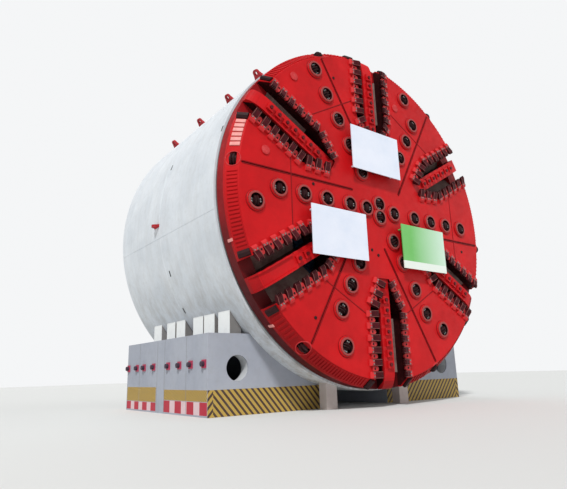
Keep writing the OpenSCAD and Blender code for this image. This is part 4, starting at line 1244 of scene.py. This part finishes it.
@dataclass
class Studio:
    """Camera at the photograph's place, a plain pale floor, and soft light over the camera's shoulder.

    A lamp has its name, its place, its light on a surface that faces it and its width in degrees. The surround has
    a strength as light and one as what the camera sees.
    """

    place: Triple = (-16.173, -19.680, 1.452)
    focal_px: float = 510.75
    width_px: int = 567
    sensor_mm: float = 36.0
    sight: float = 500.0
    yaw: float = 36.87
    pitch: float = 14.10
    roll: float = -1.72
    floor: str = "d9dad8"
    floor_run: Span = (-120, 120, 5)
    floor_z: float = -0.002
    floor_rough: float = 0.85
    aim: Triple = (0, 0, 6)
    lamps: tuple[tuple[str, Triple, float, float], ...] = (
        ("key", (-30, -30, 51), 2.55, 6.0), ("fill", (34, -22, 18), 0.4, 40.0), ("back", (10, 40, 20), 0.4, 40.0))
    sky_tone: tuple[float, float, float, float] = (0.98, 0.99, 1.0, 1)
    sky: Pair = (0.48, 0.93)

    def camera(self) -> None:
        """Sets the camera: looking down, it is rolled, then raised by 90 degrees and the pitch, then turned by
        the yaw."""
        yaw, pitch, roll = (math.radians(v) for v in (self.yaw, self.pitch, self.roll))
        data = bpy.data.cameras.new("camera")
        data.sensor_width = self.sensor_mm
        data.lens = self.focal_px / self.width_px * self.sensor_mm
        data.clip_end = self.sight
        made = bpy.data.objects.new("camera", data)
        turned = Matrix.Rotation(-yaw, 4, "Z") @ Matrix.Rotation(math.pi / 2 + pitch, 4, "X")
        made.matrix_world = Matrix.Translation(self.place) @ turned @ Matrix.Rotation(roll, 4, "Z")
        bpy.context.scene.collection.objects.link(made)
        bpy.context.scene.camera = made

    def ground(self) -> None:
        """A plain pale floor: a wide sheet just under the machine."""
        edge = np.linspace(*self.floor_run)
        x, y = np.meshgrid(edge, edge, indexing="ij")
        shape = surface(np.stack([x, y, np.full_like(x, self.floor_z)], -1), around=False)
        mesh = bpy.data.meshes.new("floor")
        mesh.from_pydata(shape.points.tolist(), [], shape.quads.tolist())
        made = bpy.data.materials.new("pale_floor")
        made.use_nodes = True
        tree = made.node_tree
        tree.nodes.clear()
        shader = add(tree, "BsdfPrincipled", tone(self.floor), Roughness=self.floor_rough)
        add(tree, "OutputMaterial", shader)
        mesh.materials.append(made)
        floor = bpy.data.objects.new("floor", mesh)
        bpy.context.scene.collection.objects.link(floor)

    def light(self) -> None:
        """Sets the lamps, each looking at the machine's middle, and an even pale surround that lights softly and
        is near white to the camera."""
        for name, place, strength, spread in self.lamps:
            data = bpy.data.lights.new(name, "SUN")
            data.energy = strength
            data.angle = math.radians(spread)
            made = bpy.data.objects.new(name, data)
            made.location = place
            made.rotation_euler = (Vector(self.aim) - Vector(place)).to_track_quat("-Z", "Y").to_euler()
            bpy.context.scene.collection.objects.link(made)
        world = bpy.data.worlds.new("studio")
        bpy.context.scene.world = world
        world.use_nodes = True
        tree = world.node_tree
        tree.nodes.clear()
        path = add(tree, "LightPath").outputs
        seen = add(tree, "Math", path["Is Camera Ray"], path["Is Transmission Ray"], operation="MAXIMUM")
        strength = add(tree, "MapRange", seen, 0.0, 1.0, *self.sky)
        add(tree, "OutputWorld", add(tree, "Background", self.sky_tone, strength))

    def build(self) -> None:
        """Sets camera, floor, lamps and surround, and the plain view transform."""
        self.camera()
        self.ground()
        self.light()
        bpy.context.scene.view_settings.view_transform = "Standard"


def main() -> None:
    logging.basicConfig(level=logging.INFO, format="%(message)s")
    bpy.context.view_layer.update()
    for part in (Studio(), Cutterhead(), Boards(), Shield(), Works(), Cradle()):
        part.build()
    bpy.context.view_layer.update()


if __name__ == "__main__":
    main()
